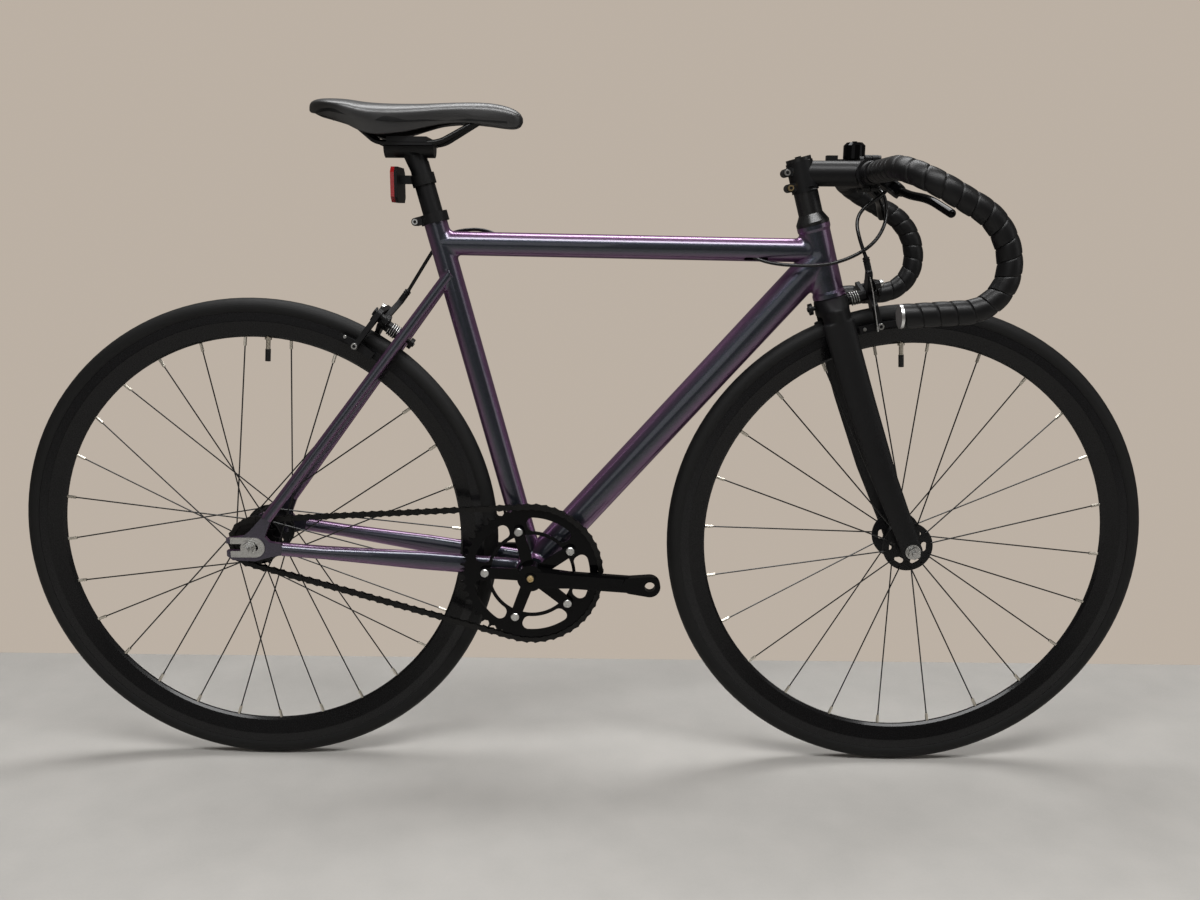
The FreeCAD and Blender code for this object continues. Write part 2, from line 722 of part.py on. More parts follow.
plate_face = rear_axle + RIGHT * (half_space + d.dropout_thick)
plate_front = plate_face + AHEAD * (d.slot_ahead + d.axle_plate_height / 2 - slot_radius)
plate_back = plate_front - AHEAD * d.axle_plate_length
plate_half = d.axle_plate_height / 2
plate_round = link(plate_back + AHEAD * plate_half, plate_front - AHEAD * plate_half,
                   plate_half, plate_half, RIGHT * d.axle_plate_thick)
plate_square = prism([plate_back + UP * plate_half, plate_back + AHEAD * plate_half + UP * plate_half,
                      plate_back + AHEAD * plate_half - UP * plate_half, plate_back - UP * plate_half],
                     RIGHT * d.axle_plate_thick)
plate = fused([plate_round, plate_square]).cut(slot)
plate_item = shape_of("axle_plate_right", plate)
group("axle_plates", [plate_item, mirrored("axle_plate_left", plate_item)])


# a stay: hollow loft through ovals set square to its axis
def stay(marks, wall, side_axis):
    outer = []
    inner = []
    along = (marks[-1][0] - marks[0][0]).normalize()
    tall_axis = along.cross(side_axis).normalize()
    wide_axis = tall_axis.cross(along).normalize()
    for place, wide, tall in marks:
        outer.append(oval(place, wide_axis, tall_axis, wide, tall, True))
        inner.append(oval(place, wide_axis, tall_axis, wide - wall, tall - wall, True))
    solid = Part.makeLoft(outer, True, True)
    return solid.cut(Part.makeLoft(inner, True, True))


stay_seat_share = 0.27
chainstay_end = dropout_corner + Vector(d.dropout_length, -d.dropout_thick / 2,
                                        stay_seat_share * d.dropout_height)
chainstay_root = bb + RIGHT * d.chainstay_bb_side
chainstay_run = chainstay_root - chainstay_end
stay_middle_share = 0.55
stay_shoulder_share = 0.16
chainstay_marks = [
    (chainstay_end, d.chainstay_end_radius, d.chainstay_end_radius),
    (chainstay_end + chainstay_run * stay_shoulder_share, d.chainstay_end_radius, d.chainstay_end_radius),
    (chainstay_end + chainstay_run * stay_middle_share, d.chainstay_thin, d.chainstay_tall),
    (chainstay_root, d.chainstay_thin, d.chainstay_tall)]
shell_solid = bar(d.bb_shell_radius, shell_start, shell_end)
chainstay_right = stay(chainstay_marks, d.chainstay_wall, LEFT).cut(shell_solid).cut(dropout_right)
chainstay_right = max(chainstay_right.Solids, key=lambda solid: solid.Volume)
chainstay_item = shape_of("chainstay_right", chainstay_right)
group("chainstays", [chainstay_item, mirrored("chainstay_left", chainstay_item)])

dropout_top = (dropout_points[8] + dropout_points[9]) * 0.5 + RIGHT * (d.dropout_thick / 2)
seatstay_root = seat_top - seat_up * d.seatstay_top_drop + RIGHT * d.seatstay_top_side
seatstay = tube("seatstay", "Sizes.seatstay_radius", "Sizes.tube_wall", dropout_top, seatstay_root)
seatstay_item = cut("seatstay", seatstay, [seat_cutter, dropout_item])
group("seatstays", [seatstay_item, mirrored("seatstay_left", seatstay_item)])

# rear brake: its bolt crosses the bridge, its pads meet the brake track
stay_line = (seatstay_root - dropout_top)
stay_up = Vector(stay_line.x, 0, stay_line.z).normalize()
stay_back = Vector(-stay_up.z, 0, stay_up.x)
track_middle = d.rim_radius - d.rim_track / 2
brake_front = 2 * d.part_gap + d.brake_spacer + d.brake_plate + d.brake_arm
stay_base = Vector(dropout_top.x, 0, dropout_top.z)
pad_base = stay_base - rear_axle + stay_back * (d.bridge_radius + brake_front) - stay_up * d.brake_reach
pad_along = pad_base.dot(stay_up)
bridge_run = -pad_along + math.sqrt(pad_along ** 2 - pad_base.Length ** 2 + track_middle ** 2)
bridge_middle = stay_base + stay_up * bridge_run
bridge_half = Vector(0, abs(dropout_top.y) + d.dropout_thick, 0)
stud_hole = bar(d.brake_stud + d.fit_gap, bridge_middle - stay_back * (2 * d.bridge_radius),
                bridge_middle + stay_back * (2 * d.bridge_radius))
bridge = bar(d.bridge_radius, bridge_middle - bridge_half, bridge_middle + bridge_half)
stay_fill = bar(d.seatstay_radius, dropout_top, seatstay_root)
stay_fill_left = stay_fill.mirror(Vector(), LEFT)
bridge = bridge.cut(stay_fill).cut(stay_fill_left)
bridge = min(bridge.Solids, key=lambda solid: abs(solid.CenterOfMass.y)).cut(stud_hole)
feature("brake_bridge", bridge)

# seat clamp with its ears behind the tube
clamp_top = seat_top + seat_up * d.clamp_lip
clamp_low = clamp_top - seat_up * d.clamp_height
clamp_radius = d.seat_tube_radius + d.clamp_wall
seat_back = Vector(-seat_up.z, 0, seat_up.x)
ear_level = clamp_top - seat_up * d.clamp_ear_radius
ear_middle = ear_level + seat_back * (clamp_radius + d.clamp_ear_back - d.clamp_ear_radius)
ear_side = LEFT * (d.clamp_ear_width / 2)
ear_root = ear_level + seat_back * d.seat_tube_radius
ear = link(ear_root - ear_side, ear_middle - ear_side, d.clamp_ear_radius, d.clamp_ear_radius, ear_side * 2)
clamp = fused([bar(clamp_radius, clamp_low, clamp_top), ear])
clamp = clamp.cut(bar(d.seat_tube_radius, clamp_low, seat_top))
clamp = clamp.cut(bar(d.post_radius + d.part_gap, seat_top, clamp_top))
slit_corner = [(0, -1), (1, -1), (1, 1), (0, 1)]
slit_reach = clamp_radius + d.clamp_ear_back + d.overrun
slit_points = []
for out_step, side_step in slit_corner:
    slit_points.append(clamp_low - seat_up * d.overrun + seat_back * (out_step * slit_reach)
                       + LEFT * (side_step * d.clamp_slit / 2))
clamp = clamp.cut(prism(slit_points, seat_up * (d.clamp_height + 2 * d.overrun)))
ear_hole = bar(d.clamp_bolt_radius + d.fit_gap, ear_middle - ear_side * 2, ear_middle + ear_side * 2)
clamp = clamp.cut(ear_hole)
clamp_bolt = fused([bar(d.clamp_bolt_radius, ear_middle - ear_side, ear_middle + ear_side),
                    bar(d.clamp_head_radius, ear_middle - ear_side,
                        ear_middle - ear_side + RIGHT * d.clamp_head_height)])
group("seat_clamp", [shape_of("seat_collar", clamp), shape_of("seat_bolt", clamp_bolt)])

# bearings: headset rings in the head tube, cups in the shell
bearings = []
for mark in (head_low, head_high - steer_up * d.bearing_height):
    bearings.append(shape_of("headset_bearing", ring(
        d.head_bore_radius, d.steerer_radius + d.fit_gap, mark, mark + steer_up * d.bearing_height)))
for mark in (shell_start, shell_end - LEFT * d.cup_length):
    bearings.append(shape_of("bracket_cup", ring(
        d.bb_bore_radius, d.spindle_radius + d.fit_gap, mark, mark + LEFT * d.cup_length)))
group("bearing_cups", bearings)


# axle with locknuts, washers and nuts; the axle is centred on the wheel plane
def axle_set(prefix, axle, radius, space, hub_end, hold):
    half = space / 2
    washer_face = half + hold
    nut_face = washer_face + d.washer_thick
    tail = nut_face + d.nut_height + d.axle_tail
    end = hub_end + d.part_gap
    nut_top = nut_face + d.nut_height
    pieces = [bar(radius, axle + RIGHT * nut_top, axle + LEFT * nut_top)]
    for way in (LEFT, RIGHT):
        pieces.append(bar(radius - d.axle_step, axle + way * nut_face, axle + way * tail))
        pieces.append(bar(d.cone_radius, axle + way * end, axle + way * half))
    solids = [shape_of(prefix + "_rod", fused(pieces))]
    for way in (LEFT, RIGHT):
        room = radius + d.fit_gap
        washer = ring(d.washer_radius, room, axle + way * washer_face, axle + way * nut_face)
        hexagon = regular(axle + way * nut_face, AHEAD, UP, d.nut_flats / math.sqrt(3), 6,
                          way * d.nut_height, 30)
        nut = hexagon.cut(bar(room, axle + way * nut_face, axle + way * tail))
        solids.append(shape_of(prefix + "_washer", washer))
        solids.append(shape_of(prefix + "_nut", nut))
    return group(prefix, solids)


axle_set("rear_axle", rear_axle, d.rear_axle_radius, d.rear_spacing, d.rear_hub_end,
         d.dropout_thick + d.axle_plate_thick)
axle_set("front_axle", front_axle, d.front_axle_radius, d.front_spacing, d.front_hub_end, d.tip_thick)


# wheels
def wheel(prefix, axle, spoke_count, crossings, hub_end, valve_angle):
    # tyre: a hollow ring, open at the rim and cut back from the rim hooks
    name = prefix + "_tyre"
    major = "Sizes.wheel_radius - Sizes.tyre_width / 2"
    casing = torus(name + "_outer", axle, major, "Sizes.tyre_width / 2")
    hollow = torus(name + "_air", axle, major, "Sizes.tyre_width / 2 - Sizes.tyre_wall")
    reach = LEFT * d.tyre_width
    well = rod(name + "_well", "Sizes.rim_radius - Sizes.tyre_bead", axle - reach, axle + reach)
    hook_inside = d.rim_width / 2 - d.rim_wall - d.fit_gap
    hooks = []
    for way in (LEFT, RIGHT):
        hooks.append(rod(name + "_hook", "Sizes.rim_radius + Sizes.fit_gap",
                         axle + way * hook_inside, axle + way * d.tyre_width))
    keep(name, cut(name, casing, [hollow, well] + hooks))

    # rim: a deep hollow section with brake tracks and a tyre channel
    half = "rim_width / 2"
    inside = "( rim_width / 2 - rim_wall )"
    bed = "rim_radius - rim_bed"
    track = "rim_radius - rim_track"
    nose = "rim_radius - rim_depth"
    section = outline(
        ("rim_radius", "0 - " + half), ("rim_radius", "0 - " + inside), (bed, "0 - " + inside),
        (bed, inside), ("rim_radius", inside), ("rim_radius", half), (track, half),
        (nose + " + rim_nose_round", "rim_nose / 2"), (nose, "rim_nose / 2 - rim_nose_round"),
        (nose, "rim_nose_round - rim_nose / 2"), (nose + " + rim_nose_round", "0 - rim_nose / 2"),
        (track, "0 - " + half))
    cavity_low = nose + " + rim_nose_round + rim_wall"
    cavity = outline(
        (bed + " - rim_wall", "0 - " + inside), (bed + " - rim_wall", inside), (track, inside),
        (cavity_low, "rim_nose / 2 - rim_wall"), (cavity_low, "rim_wall - rim_nose / 2"),
        (track, "0 - " + inside))
    rim_body = turned(prefix + "_rim_section", [section, cavity], Placement(axle, Rotation()))
    way = in_plane(valve_angle)
    bed_radius = d.rim_radius - d.rim_bed
    nose_radius = d.rim_radius - d.rim_depth
    hole = shape_of(prefix + "_valve_hole", bar(
        d.valve_radius + d.fit_gap, axle + way * (nose_radius - d.overrun), axle + way * d.rim_radius))
    rim = cut(prefix + "_rim", rim_body, [hole])

    # valve: stem through both beds, nut under the rim, cap on the end
    valve_end = nose_radius - d.valve_length
    cap_top = valve_end + d.valve_cap_length
    stem = bar(d.valve_radius, axle + way * cap_top, axle + way * bed_radius)
    nut_top = nose_radius - d.fit_gap
    nut_low = axle + way * (nut_top - d.valve_nut_height)
    nut = ring(d.valve_nut_radius, d.valve_radius, nut_low, axle + way * nut_top)
    cap = bar(d.valve_cap_radius, axle + way * valve_end, axle + way * cap_top)
    group(prefix + "_valve", [shape_of(prefix + "_stem", stem), shape_of(prefix + "_valve_nut", nut),
                              shape_of(prefix + "_cap", cap)])

    # rim joint sleeve opposite the valve, as long as it takes to balance it
    doc.recompute()
    # density of the valve as a share of the rim's
    brass_share = 3.148
    moment = brass_share * sum(solid.Volume * (solid.CenterOfGravity - axle).dot(way)
                               for solid in (stem, nut, cap))
    moment += rim.Shape.Volume * (rim.Shape.CenterOfGravity - axle).dot(way)
    top = bed_radius - d.rim_wall - d.fit_gap
    low = d.rim_radius - d.rim_track
    wide = d.rim_width / 2 - d.rim_wall - d.fit_gap
    area = 2 * wide * (top - low)
    middle = (top + low) / 2
    angle = 2 * math.degrees(math.asin(moment / (2 * area * middle ** 2)))
    back = turned_by(way * -1, LEFT, -angle / 2)
    corners = [axle + back * low + LEFT * wide, axle + back * top + LEFT * wide,
               axle + back * top + RIGHT * wide, axle + back * low + RIGHT * wide]
    sleeve = Part.Face(Part.makePolygon(corners + corners[:1])).revolve(axle, LEFT, angle)
    group(prefix + "_rim", [rim, shape_of(prefix + "_sleeve", sleeve)])

    # spokes and nipples: half the spokes per flange, drawn straight to their nipples
    pieces = []
    per_flange = int(spoke_count / 2)
    gap = 360 / per_flange
    over_flange = d.flange_radius - d.spoke_circle
    if crossings:
        over_flange = math.sqrt(d.flange_radius ** 2 - d.spoke_circle ** 2)
    rise = over_flange * d.flange_offset / (nose_radius - d.flange_radius)
    for way_side, start in ((RIGHT, 0), (LEFT, gap / 2)):
        for i in range(per_flange):
            sign = 1 if i % 2 == 0 else -1
            face_side = sign if crossings else 1
            hub_angle = valve_angle + gap / 4 + start + i * gap
            rim_angle = hub_angle + sign * crossings * gap
            lie = d.flange_thick / 2 + d.spoke_radius + d.fit_gap
            if face_side > 0:
                lie += rise
            foot = axle + in_plane(hub_angle) * d.spoke_circle
            foot = foot + way_side * (d.flange_offset + face_side * lie)
            goal = axle + in_plane(rim_angle) * (nose_radius - d.fit_gap)
            along = (goal - foot).normalize()
            across = along.cross(LEFT).normalize()
            up = along.cross(across)
            seat = goal - along * d.nipple_length
            length = (seat - foot).Length
            pieces.append(regular(foot, across, up, d.spoke_radius, 6, along * length))
            pieces.append(regular(seat, across, up, d.nipple_radius, 6,
                                  along * (d.nipple_length - d.nipple_radius * abs(along.y))))
    feature(prefix + "_spokes", Part.makeCompound(pieces))

    # high-flange hub with oval windows through both flanges
    end = "rear_hub_end" if prefix == "rear" else "front_hub_end"
    bore = "rear_axle_radius + fit_gap" if prefix == "rear" else "front_axle_radius + fit_gap"
    outer_face = "( flange_offset + flange_thick / 2 )"
    inner_face = "( flange_offset - flange_thick / 2 )"
    root = "( flange_offset - flange_thick / 2 - hub_root )"
    hub_outline = outline(
        (bore, "0 - " + end), ("hub_end_radius", "0 - " + end), ("hub_end_radius", "0 - " + outer_face),
        ("flange_radius", "0 - " + outer_face), ("flange_radius", "0 - " + inner_face),
        ("hub_radius + hub_root / 2", "0 - " + inner_face), ("hub_radius", "0 - " + root),
        ("hub_radius", root), ("hub_radius + hub_root / 2", inner_face), ("flange_radius", inner_face),
        ("flange_radius", outer_face), ("hub_end_radius", outer_face), ("hub_end_radius", end), (bore, end))
    hub = turned(prefix + "_hub_shell", [hub_outline], Placement(axle, Rotation()))
    windows = []
    reach = hub_end
    for i in range(int(d.flange_windows)):
        out = in_plane(90 + (i + 0.5) * 360 / d.flange_windows)
        tangent = out.cross(LEFT)
        middle = axle + out * d.flange_window_circle + RIGHT * reach
        stretch = tangent * d.flange_window_half
        windows.append(link(middle - stretch, middle + stretch, d.flange_window_radius,
                            d.flange_window_radius, LEFT * (2 * reach)))
    window_cutter = shape_of(prefix + "_windows", Part.makeCompound(windows))
    return hub, window_cutter


front_hub, front_windows = wheel("front", front_axle, d.front_spokes, 0, d.front_hub_end,
                                 d.front_valve_angle)
keep("front_hub", cut("front_hub", front_hub, [front_windows]))
rear_hub, rear_windows = wheel("rear", rear_axle, d.rear_spokes, 3, d.rear_hub_end,
                               d.rear_valve_angle)
carrier_start = rear_axle + RIGHT * (d.flange_offset + d.flange_thick / 2)
carrier_end = rear_axle + RIGHT * (d.chain_line + d.tooth_thick / 2 + d.lockring_thick)
carrier_bore = d.rear_axle_radius + d.fit_gap
carrier = shape_of("cog_carrier", ring(d.cog_bore, carrier_bore, carrier_start, carrier_end))
rear_hub_cut = cut("rear_hub", rear_hub, [rear_windows])
rear_hub_whole = doc.addObject("Part::Fuse", "rear_hub_whole")
rear_hub_whole.Base = rear_hub_cut
rear_hub_whole.Tool = carrier
keep("rear_hub", rear_hub_whole)

# chain path: round the front of the ring, back below, round the cog, forward above
line = RIGHT * d.chain_line
to_ring = bb - rear_axle
line_angle = math.degrees(math.atan2(to_ring.z, to_ring.x))
lean = math.degrees(math.asin((ring_pitch - cog_pitch) / stay_length))
upper_angle = line_angle + 90 + lean
lower_angle = line_angle - 90 - lean
run = stay_length * math.cos(math.radians(lean))
ring_steps = (upper_angle - lower_angle) / 360 * d.ring_teeth
cog_steps = (360 - upper_angle + lower_angle) / 360 * d.cog_teeth
run_steps = run / d.chain_pitch


def roller_place(step):
    if step <= ring_steps:
        return bb + in_plane(upper_angle - step * 360 / d.ring_teeth) * ring_pitch
    step -= ring_steps
    low_ring = bb + in_plane(lower_angle) * ring_pitch
    low_cog = rear_axle + in_plane(lower_angle) * cog_pitch
    if step <= run_steps:
        return low_ring + (low_cog - low_ring) * (step / run_steps)
    step -= run_steps
    if step <= cog_steps:
        return rear_axle + in_plane(lower_angle - step * 360 / d.cog_teeth) * cog_pitch
    step -= cog_steps
    high_cog = rear_axle + in_plane(upper_angle) * cog_pitch
    high_ring = bb + in_plane(upper_angle) * ring_pitch
    return high_cog + (high_ring - high_cog) * (step / run_steps)


# ten-sided waisted link plate, as shares of its end radius past the pin and beside the chain line
plate_shares = [(0.95, 0.42), (0.3, 1)]
plate_waist_share = 0.66


def plate_points(start, end, side):
    along = (end - start).normalize()
    up = along.cross(LEFT)
    points = []
    corners = ((end, along, 1), (end, along, -1), (start, along * -1, -1), (start, along * -1, 1))
    for centre, way, flip in corners:
        shares = plate_shares if flip * (1 if centre is end else -1) < 0 else plate_shares[::-1]
        for out_share, up_share in shares:
            points.append(centre + way * (out_share * d.plate_radius)
                          + up * (flip * up_share * d.plate_radius) + LEFT * side)
        if (centre is end) == (flip < 0):
            waist = up * (flip * plate_waist_share * d.plate_radius)
            points.append((start + end) * 0.5 + waist + LEFT * side)
    return points


def chain_link(start, end, outer):
    along = (end - start).normalize()
    up = along.cross(LEFT)
    inside = d.inner_half + (d.plate_thick + d.plate_gap if outer else 0)
    pieces = []
    for side in (inside, -inside - d.plate_thick):
        pieces.append(prism(plate_points(start, end, side), LEFT * d.plate_thick))
    for centre in (start, end):
        base = centre + RIGHT * (inside + d.plate_thick / 2)
        depth = LEFT * (2 * inside + d.plate_thick)
        if outer:
            pieces.append(regular(base, along, up, d.pin_radius, 4, depth))
        else:
            pieces.append(regular(base, along, up, d.roller_radius, 6, depth))
    solid = fused(pieces)
    if not outer:
        for centre in (start, end):
            base = centre + RIGHT * (inside + 2 * d.plate_thick)
            depth = LEFT * (2 * inside + 4 * d.plate_thick)
            solid = solid.cut(regular(base, along, up, d.pin_room * math.sqrt(2), 4, depth))
    return solid


link_count = int(d.chain_links)
rollers = [roller_place(i) + line for i in range(link_count)]
links = []
for i in range(link_count):
    links.append(chain_link(rollers[i], rollers[(i + 1) % link_count], i % 2 == 1))
feature("chain", Part.makeCompound(links))


# toothed wheel: a roller seat of flats between tapered teeth
def sprocket(centre, pitch_radius, teeth, seat_angle):
    points = []
    step = 360 / teeth
    seat_turns = [-62, 0, 62]
    tip_radius = pitch_radius + d.tooth_tip
    tip_turn = math.degrees(d.tooth_half / tip_radius)
    for i in range(int(teeth)):
        angle = seat_angle + i * step
        out = in_plane(angle)
        tangent = in_plane(angle + 90)
        points.append(centre + in_plane(angle - step / 2 + tip_turn) * tip_radius)
        for turn in seat_turns:
            swing = math.radians(turn)
            points.append(centre + out * (pitch_radius - d.seat_radius * math.cos(swing))
                          + tangent * (d.seat_radius * math.sin(swing)))
        points.append(centre + in_plane(angle + step / 2 - tip_turn) * tip_radius)
    return prism(points, LEFT * d.tooth_thick)


cog_seat = lower_angle - (math.ceil(ring_steps + run_steps) - ring_steps - run_steps) * 360 / d.cog_teeth
tooth_face = line + RIGHT * (d.tooth_thick / 2)
cog_centre = rear_axle + tooth_face
cog = sprocket(cog_centre, cog_pitch, d.cog_teeth, cog_seat)
cog = cog.cut(bar(d.cog_bore + d.fit_gap, cog_centre, cog_centre + LEFT * d.tooth_thick))
lock_end = cog_centre + RIGHT * d.lockring_thick
lockring = ring(d.lockring_radius, d.cog_bore + d.fit_gap, lock_end, cog_centre)
group("rear_cog", [shape_of("cog", cog), shape_of("lockring", lockring)])

# chainring: toothed rim, thin inner rim, webs at the bolts and five long windows between
ring_centre = bb + tooth_face
ring_depth = LEFT * d.tooth_thick
chainring = sprocket(ring_centre, ring_pitch, d.ring_teeth, upper_angle)
chainring = chainring.cut(bar(d.ring_inner, ring_centre, ring_centre + ring_depth))
arm_step = 360 / d.ring_arms
window_band = ring(d.ring_rim, d.ring_inner_rim, ring_centre, ring_centre + ring_depth)
bolt_angles = []
for i in range(int(d.ring_arms)):
    angle = d.crank_angle + (i + 0.5) * arm_step
    bolt_angles.append(angle)
    out = in_plane(angle)
    across = in_plane(angle + 90)
    web = prism([ring_centre + across * (side * d.ring_web_half) + out * reach
                 for side, reach in ((-1, d.ring_inner), (-1, d.ring_rim + d.overrun),
                                     (1, d.ring_rim + d.overrun), (1, d.ring_inner))], ring_depth)
    window_band = window_band.cut(web)
chainring = chainring.cut(window_band)
spider_face = ring_centre + RIGHT * d.spider_thick
bolt_holes = []
for angle in bolt_angles:
    place = in_plane(angle) * d.bolt_circle
    bolt_holes.append(bar(d.ring_bolt_radius + d.fit_gap, spider_face + place + RIGHT * d.overrun,
                          ring_centre + ring_depth + place + LEFT * d.overrun))
chainring = chainring.cut(Part.makeCompound(bolt_holes))
feature("chainring", chainring)


# crank arms
def crank_arm(angle, side):
    out = in_plane(angle)
    up = out.cross(LEFT) * -1
    eye = bb + out * d.crank_length + side * (d.crank_side + d.crank_flare)
    root = bb + side * d.crank_side
    reach = eye - root
    sections = []
    waist_share = 0.32
    flat_share = 0.7
    edge_shares = [(1, flat_share), (flat_share, 1), (-flat_share, 1), (-1, flat_share),
                   (-1, -flat_share), (-flat_share, -1), (flat_share, -1), (1, -flat_share)]
    for share, width, thick in ((0, d.crank_width, d.crank_thick),
                                (waist_share, d.crank_tip_width, d.crank_tip_thick),
                                (1, d.crank_tip_width, d.crank_tip_thick)):
        middle = root + reach * share
        points = []
        for up_share, side_share in edge_shares:
            points.append(middle + up * (up_share * width / 2) + side * (side_share * thick / 2))
        sections.append(Part.makePolygon(points + points[:1]))
    arm = Part.makeLoft(sections, True, True)
    boss_in = bb + side * (d.bb_shell_length / 2 + d.crank_shell_gap)
    boss = bar(d.crank_boss_radius, boss_in, root + side * (d.crank_thick / 2))
    eye_half = side * (d.crank_eye_thick / 2)
    lead = eye - out * d.crank_eye_lead - eye_half
    end = link(lead, eye - eye_half, d.crank_tip_width / 2, d.crank_eye_radius, eye_half * 2)
    pedal = bar(d.pedal_radius, eye - eye_half * 2, eye + eye_half * 2)
    return [arm, boss, end], pedal


bolt_seat = d.crank_side + d.crank_thick / 2 - d.crank_bolt_height
spindle_hole = bar(d.spindle_radius, bb + RIGHT * bolt_seat, bb + LEFT * bolt_seat)
bolt_pockets = [bar(d.crank_bolt_radius + d.fit_gap, bb + way * bolt_seat, bb + way * (2 * bolt_seat))
                for way in (RIGHT, LEFT)]
right_pieces, right_pedal = crank_arm(d.crank_angle, RIGHT)
for angle in bolt_angles:
    place = in_plane(angle) * d.bolt_circle
    right_pieces.append(link(spider_face, spider_face + place, d.spider_root, d.spider_tip,
                             LEFT * d.spider_thick))
crank_right = fused(right_pieces).cut(Part.makeCompound(bolt_holes)).cut(right_pedal)
feature("crank_right", crank_right.cut(spindle_hole).cut(bolt_pockets[0]))
left_pieces, left_pedal = crank_arm(d.crank_angle + 180, LEFT)
feature("crank_left", fused(left_pieces).cut(left_pedal).cut(spindle_hole).cut(bolt_pockets[1]))

hardware = [shape_of("spindle", spindle_hole)]
for way in (RIGHT, LEFT):
    seat = bb + way * bolt_seat
    crank_bolt = bar(d.crank_bolt_radius, seat, seat + way * d.crank_bolt_height)
    hardware.append(shape_of("crank_bolt", crank_bolt))
for angle in bolt_angles:
    place = in_plane(angle) * d.bolt_circle
    outside = spider_face + place
    inside = ring_centre + ring_depth + place
    hardware.append(shape_of("ring_bolt", fused([
        bar(d.ring_bolt_radius, outside, inside),
        bar(d.ring_head_radius, outside, outside + RIGHT * d.ring_head_height),
        bar(d.ring_head_radius, inside, inside + LEFT * d.ring_head_height)])))
group("crank_hardware", hardware)

# fork: crown with steerer, then two blades from the crown to the axle
stem_low = head_high + steer_up * (d.part_gap + d.cover_height + d.spacer_count * d.spacer_height)
stem_top = stem_low + steer_up * d.stem_height
shoulder = crown_seat - steer_up * d.crown_shoulder
skirt = shoulder - steer_up * d.crown_skirt
crown_half = d.crown_width / 2
crown_fore = d.crown_depth / 2
crown_top = oval(crown_seat, LEFT, steer_ahead, d.head_ring_radius, d.head_ring_radius, False)
crown_slope_share = 0.35
crown_upper = oval(crown_seat - steer_up * (d.crown_shoulder * crown_slope_share), LEFT, steer_ahead,
                   d.head_ring_radius + (crown_half - d.head_ring_radius) * crown_slope_share,
                   crown_fore, False)
crown_mid = oval(shoulder, LEFT, steer_ahead, crown_half, crown_fore, False)
crown_low = oval(skirt, LEFT, steer_ahead, crown_half, crown_fore, False)
crown = fused([Part.makeLoft([crown_top, crown_upper, crown_mid], True, True),
               Part.makeLoft([crown_mid, crown_low], True, True)])
arch_half = LEFT * (d.crown_gap_width / 2)
arch = bar(d.wheel_radius + d.crown_tyre_gap, front_axle - arch_half, front_axle + arch_half)
steerer = bar(d.steerer_radius, shoulder, stem_top - steer_up * d.steerer_short)
crown = fused([crown.cut(arch), steerer])
crown = crown.cut(bar(d.steerer_radius - d.steerer_wall, crown_seat, stem_top))
crown_bolt = crown_seat - steer_up * d.crown_bolt_drop
crown_bolt_back = crown_bolt - steer_ahead * (crown_fore + d.overrun)
crown_bolt_front = crown_bolt + steer_ahead * (crown_fore + d.overrun)
crown = crown.cut(bar(d.brake_stud + d.fit_gap, crown_bolt_back, crown_bolt_front))
feature("fork_crown", crown)

blade_length = d.fork_length - d.crown_shoulder - d.crown_skirt
blade_top_side = d.crown_gap_width / 2 + d.blade_thick / 2
blade_end_side = d.front_spacing / 2 + d.tip_thick / 2
# up the blade, taper from crown to tip, share of the rake
blade_shares = [(1, 0, -0.08), (0.66, 0.2, 0.12), (0.33, 0.55, 0.43), (0, 1, 1)]
blade_sections = []
for up_share, taper_share, rake_share in blade_shares:
    thick = d.blade_thick + (d.blade_tip_thick - d.blade_thick) * taper_share
    depth = d.blade_depth + (d.blade_tip_depth - d.blade_depth) * taper_share
    side = blade_end_side + (blade_top_side - blade_end_side) * up_share
    place = rake_foot + steer_up * (blade_length * up_share) + steer_ahead * (d.fork_rake * rake_share)
    blade_sections.append(oval(place + RIGHT * side, LEFT, steer_ahead, thick / 2, depth / 2, True))
blade = Part.makeLoft(blade_sections, True, True)
tip_inner = front_axle + RIGHT * (d.front_spacing / 2)
tip = bar(d.tip_radius, tip_inner, tip_inner + RIGHT * d.tip_thick)
tip_slot_radius = d.front_axle_radius + d.fit_gap
tip_slot = link(front_axle + RIGHT * d.front_spacing, front_axle + RIGHT * d.front_spacing
                - steer_up * (2 * d.tip_radius), tip_slot_radius, tip_slot_radius, LEFT * d.front_spacing)
tip_outer = tip_inner + RIGHT * d.tip_thick
hub_room = bar(d.washer_radius + d.part_gap, tip_outer, tip_inner + RIGHT * d.front_spacing)
hub_room_in = bar(d.tip_radius + d.part_gap, front_axle, tip_inner)
blade = fused([blade, tip]).cut(tip_slot).cut(hub_room).cut(hub_room_in)
blade = max(blade.Solids, key=lambda solid: solid.Volume)
blade_item = shape_of("blade_right", blade)
group("fork_blades", [blade_item, mirrored("blade_left", blade_item)])

# headset cover, spacers and top cap
cover_low = head_high + steer_up * d.part_gap
cover = turned("headset_cover", [outline(
    ("steerer_radius + fit_gap", "0"),
    ("head_ring_radius", "0"),
    ("head_ring_radius", "cover_rim"),
    ("spacer_radius", "cover_height"),
    ("steerer_radius + fit_gap", "cover_height"))], Placement(cover_low, Rotation(LEFT, steer_up)))
stack = [cover]
for i in range(int(d.spacer_count)):
    low = cover_low + steer_up * (d.cover_height + i * d.spacer_height)
    stack.append(shape_of("headset_spacer", ring(
        d.spacer_radius, d.steerer_radius + d.fit_gap, low, low + steer_up * d.spacer_height)))
cap_bolt = bar(d.stem_head_radius, stem_top + steer_up * d.cap_height,
               stem_top + steer_up * (d.cap_height + d.stem_head_height / 2))
stack.append(shape_of("top_cap", fused([
    bar(d.cap_radius, stem_top, stem_top + steer_up * d.cap_height), cap_bolt])))
group("headset_stack", stack)

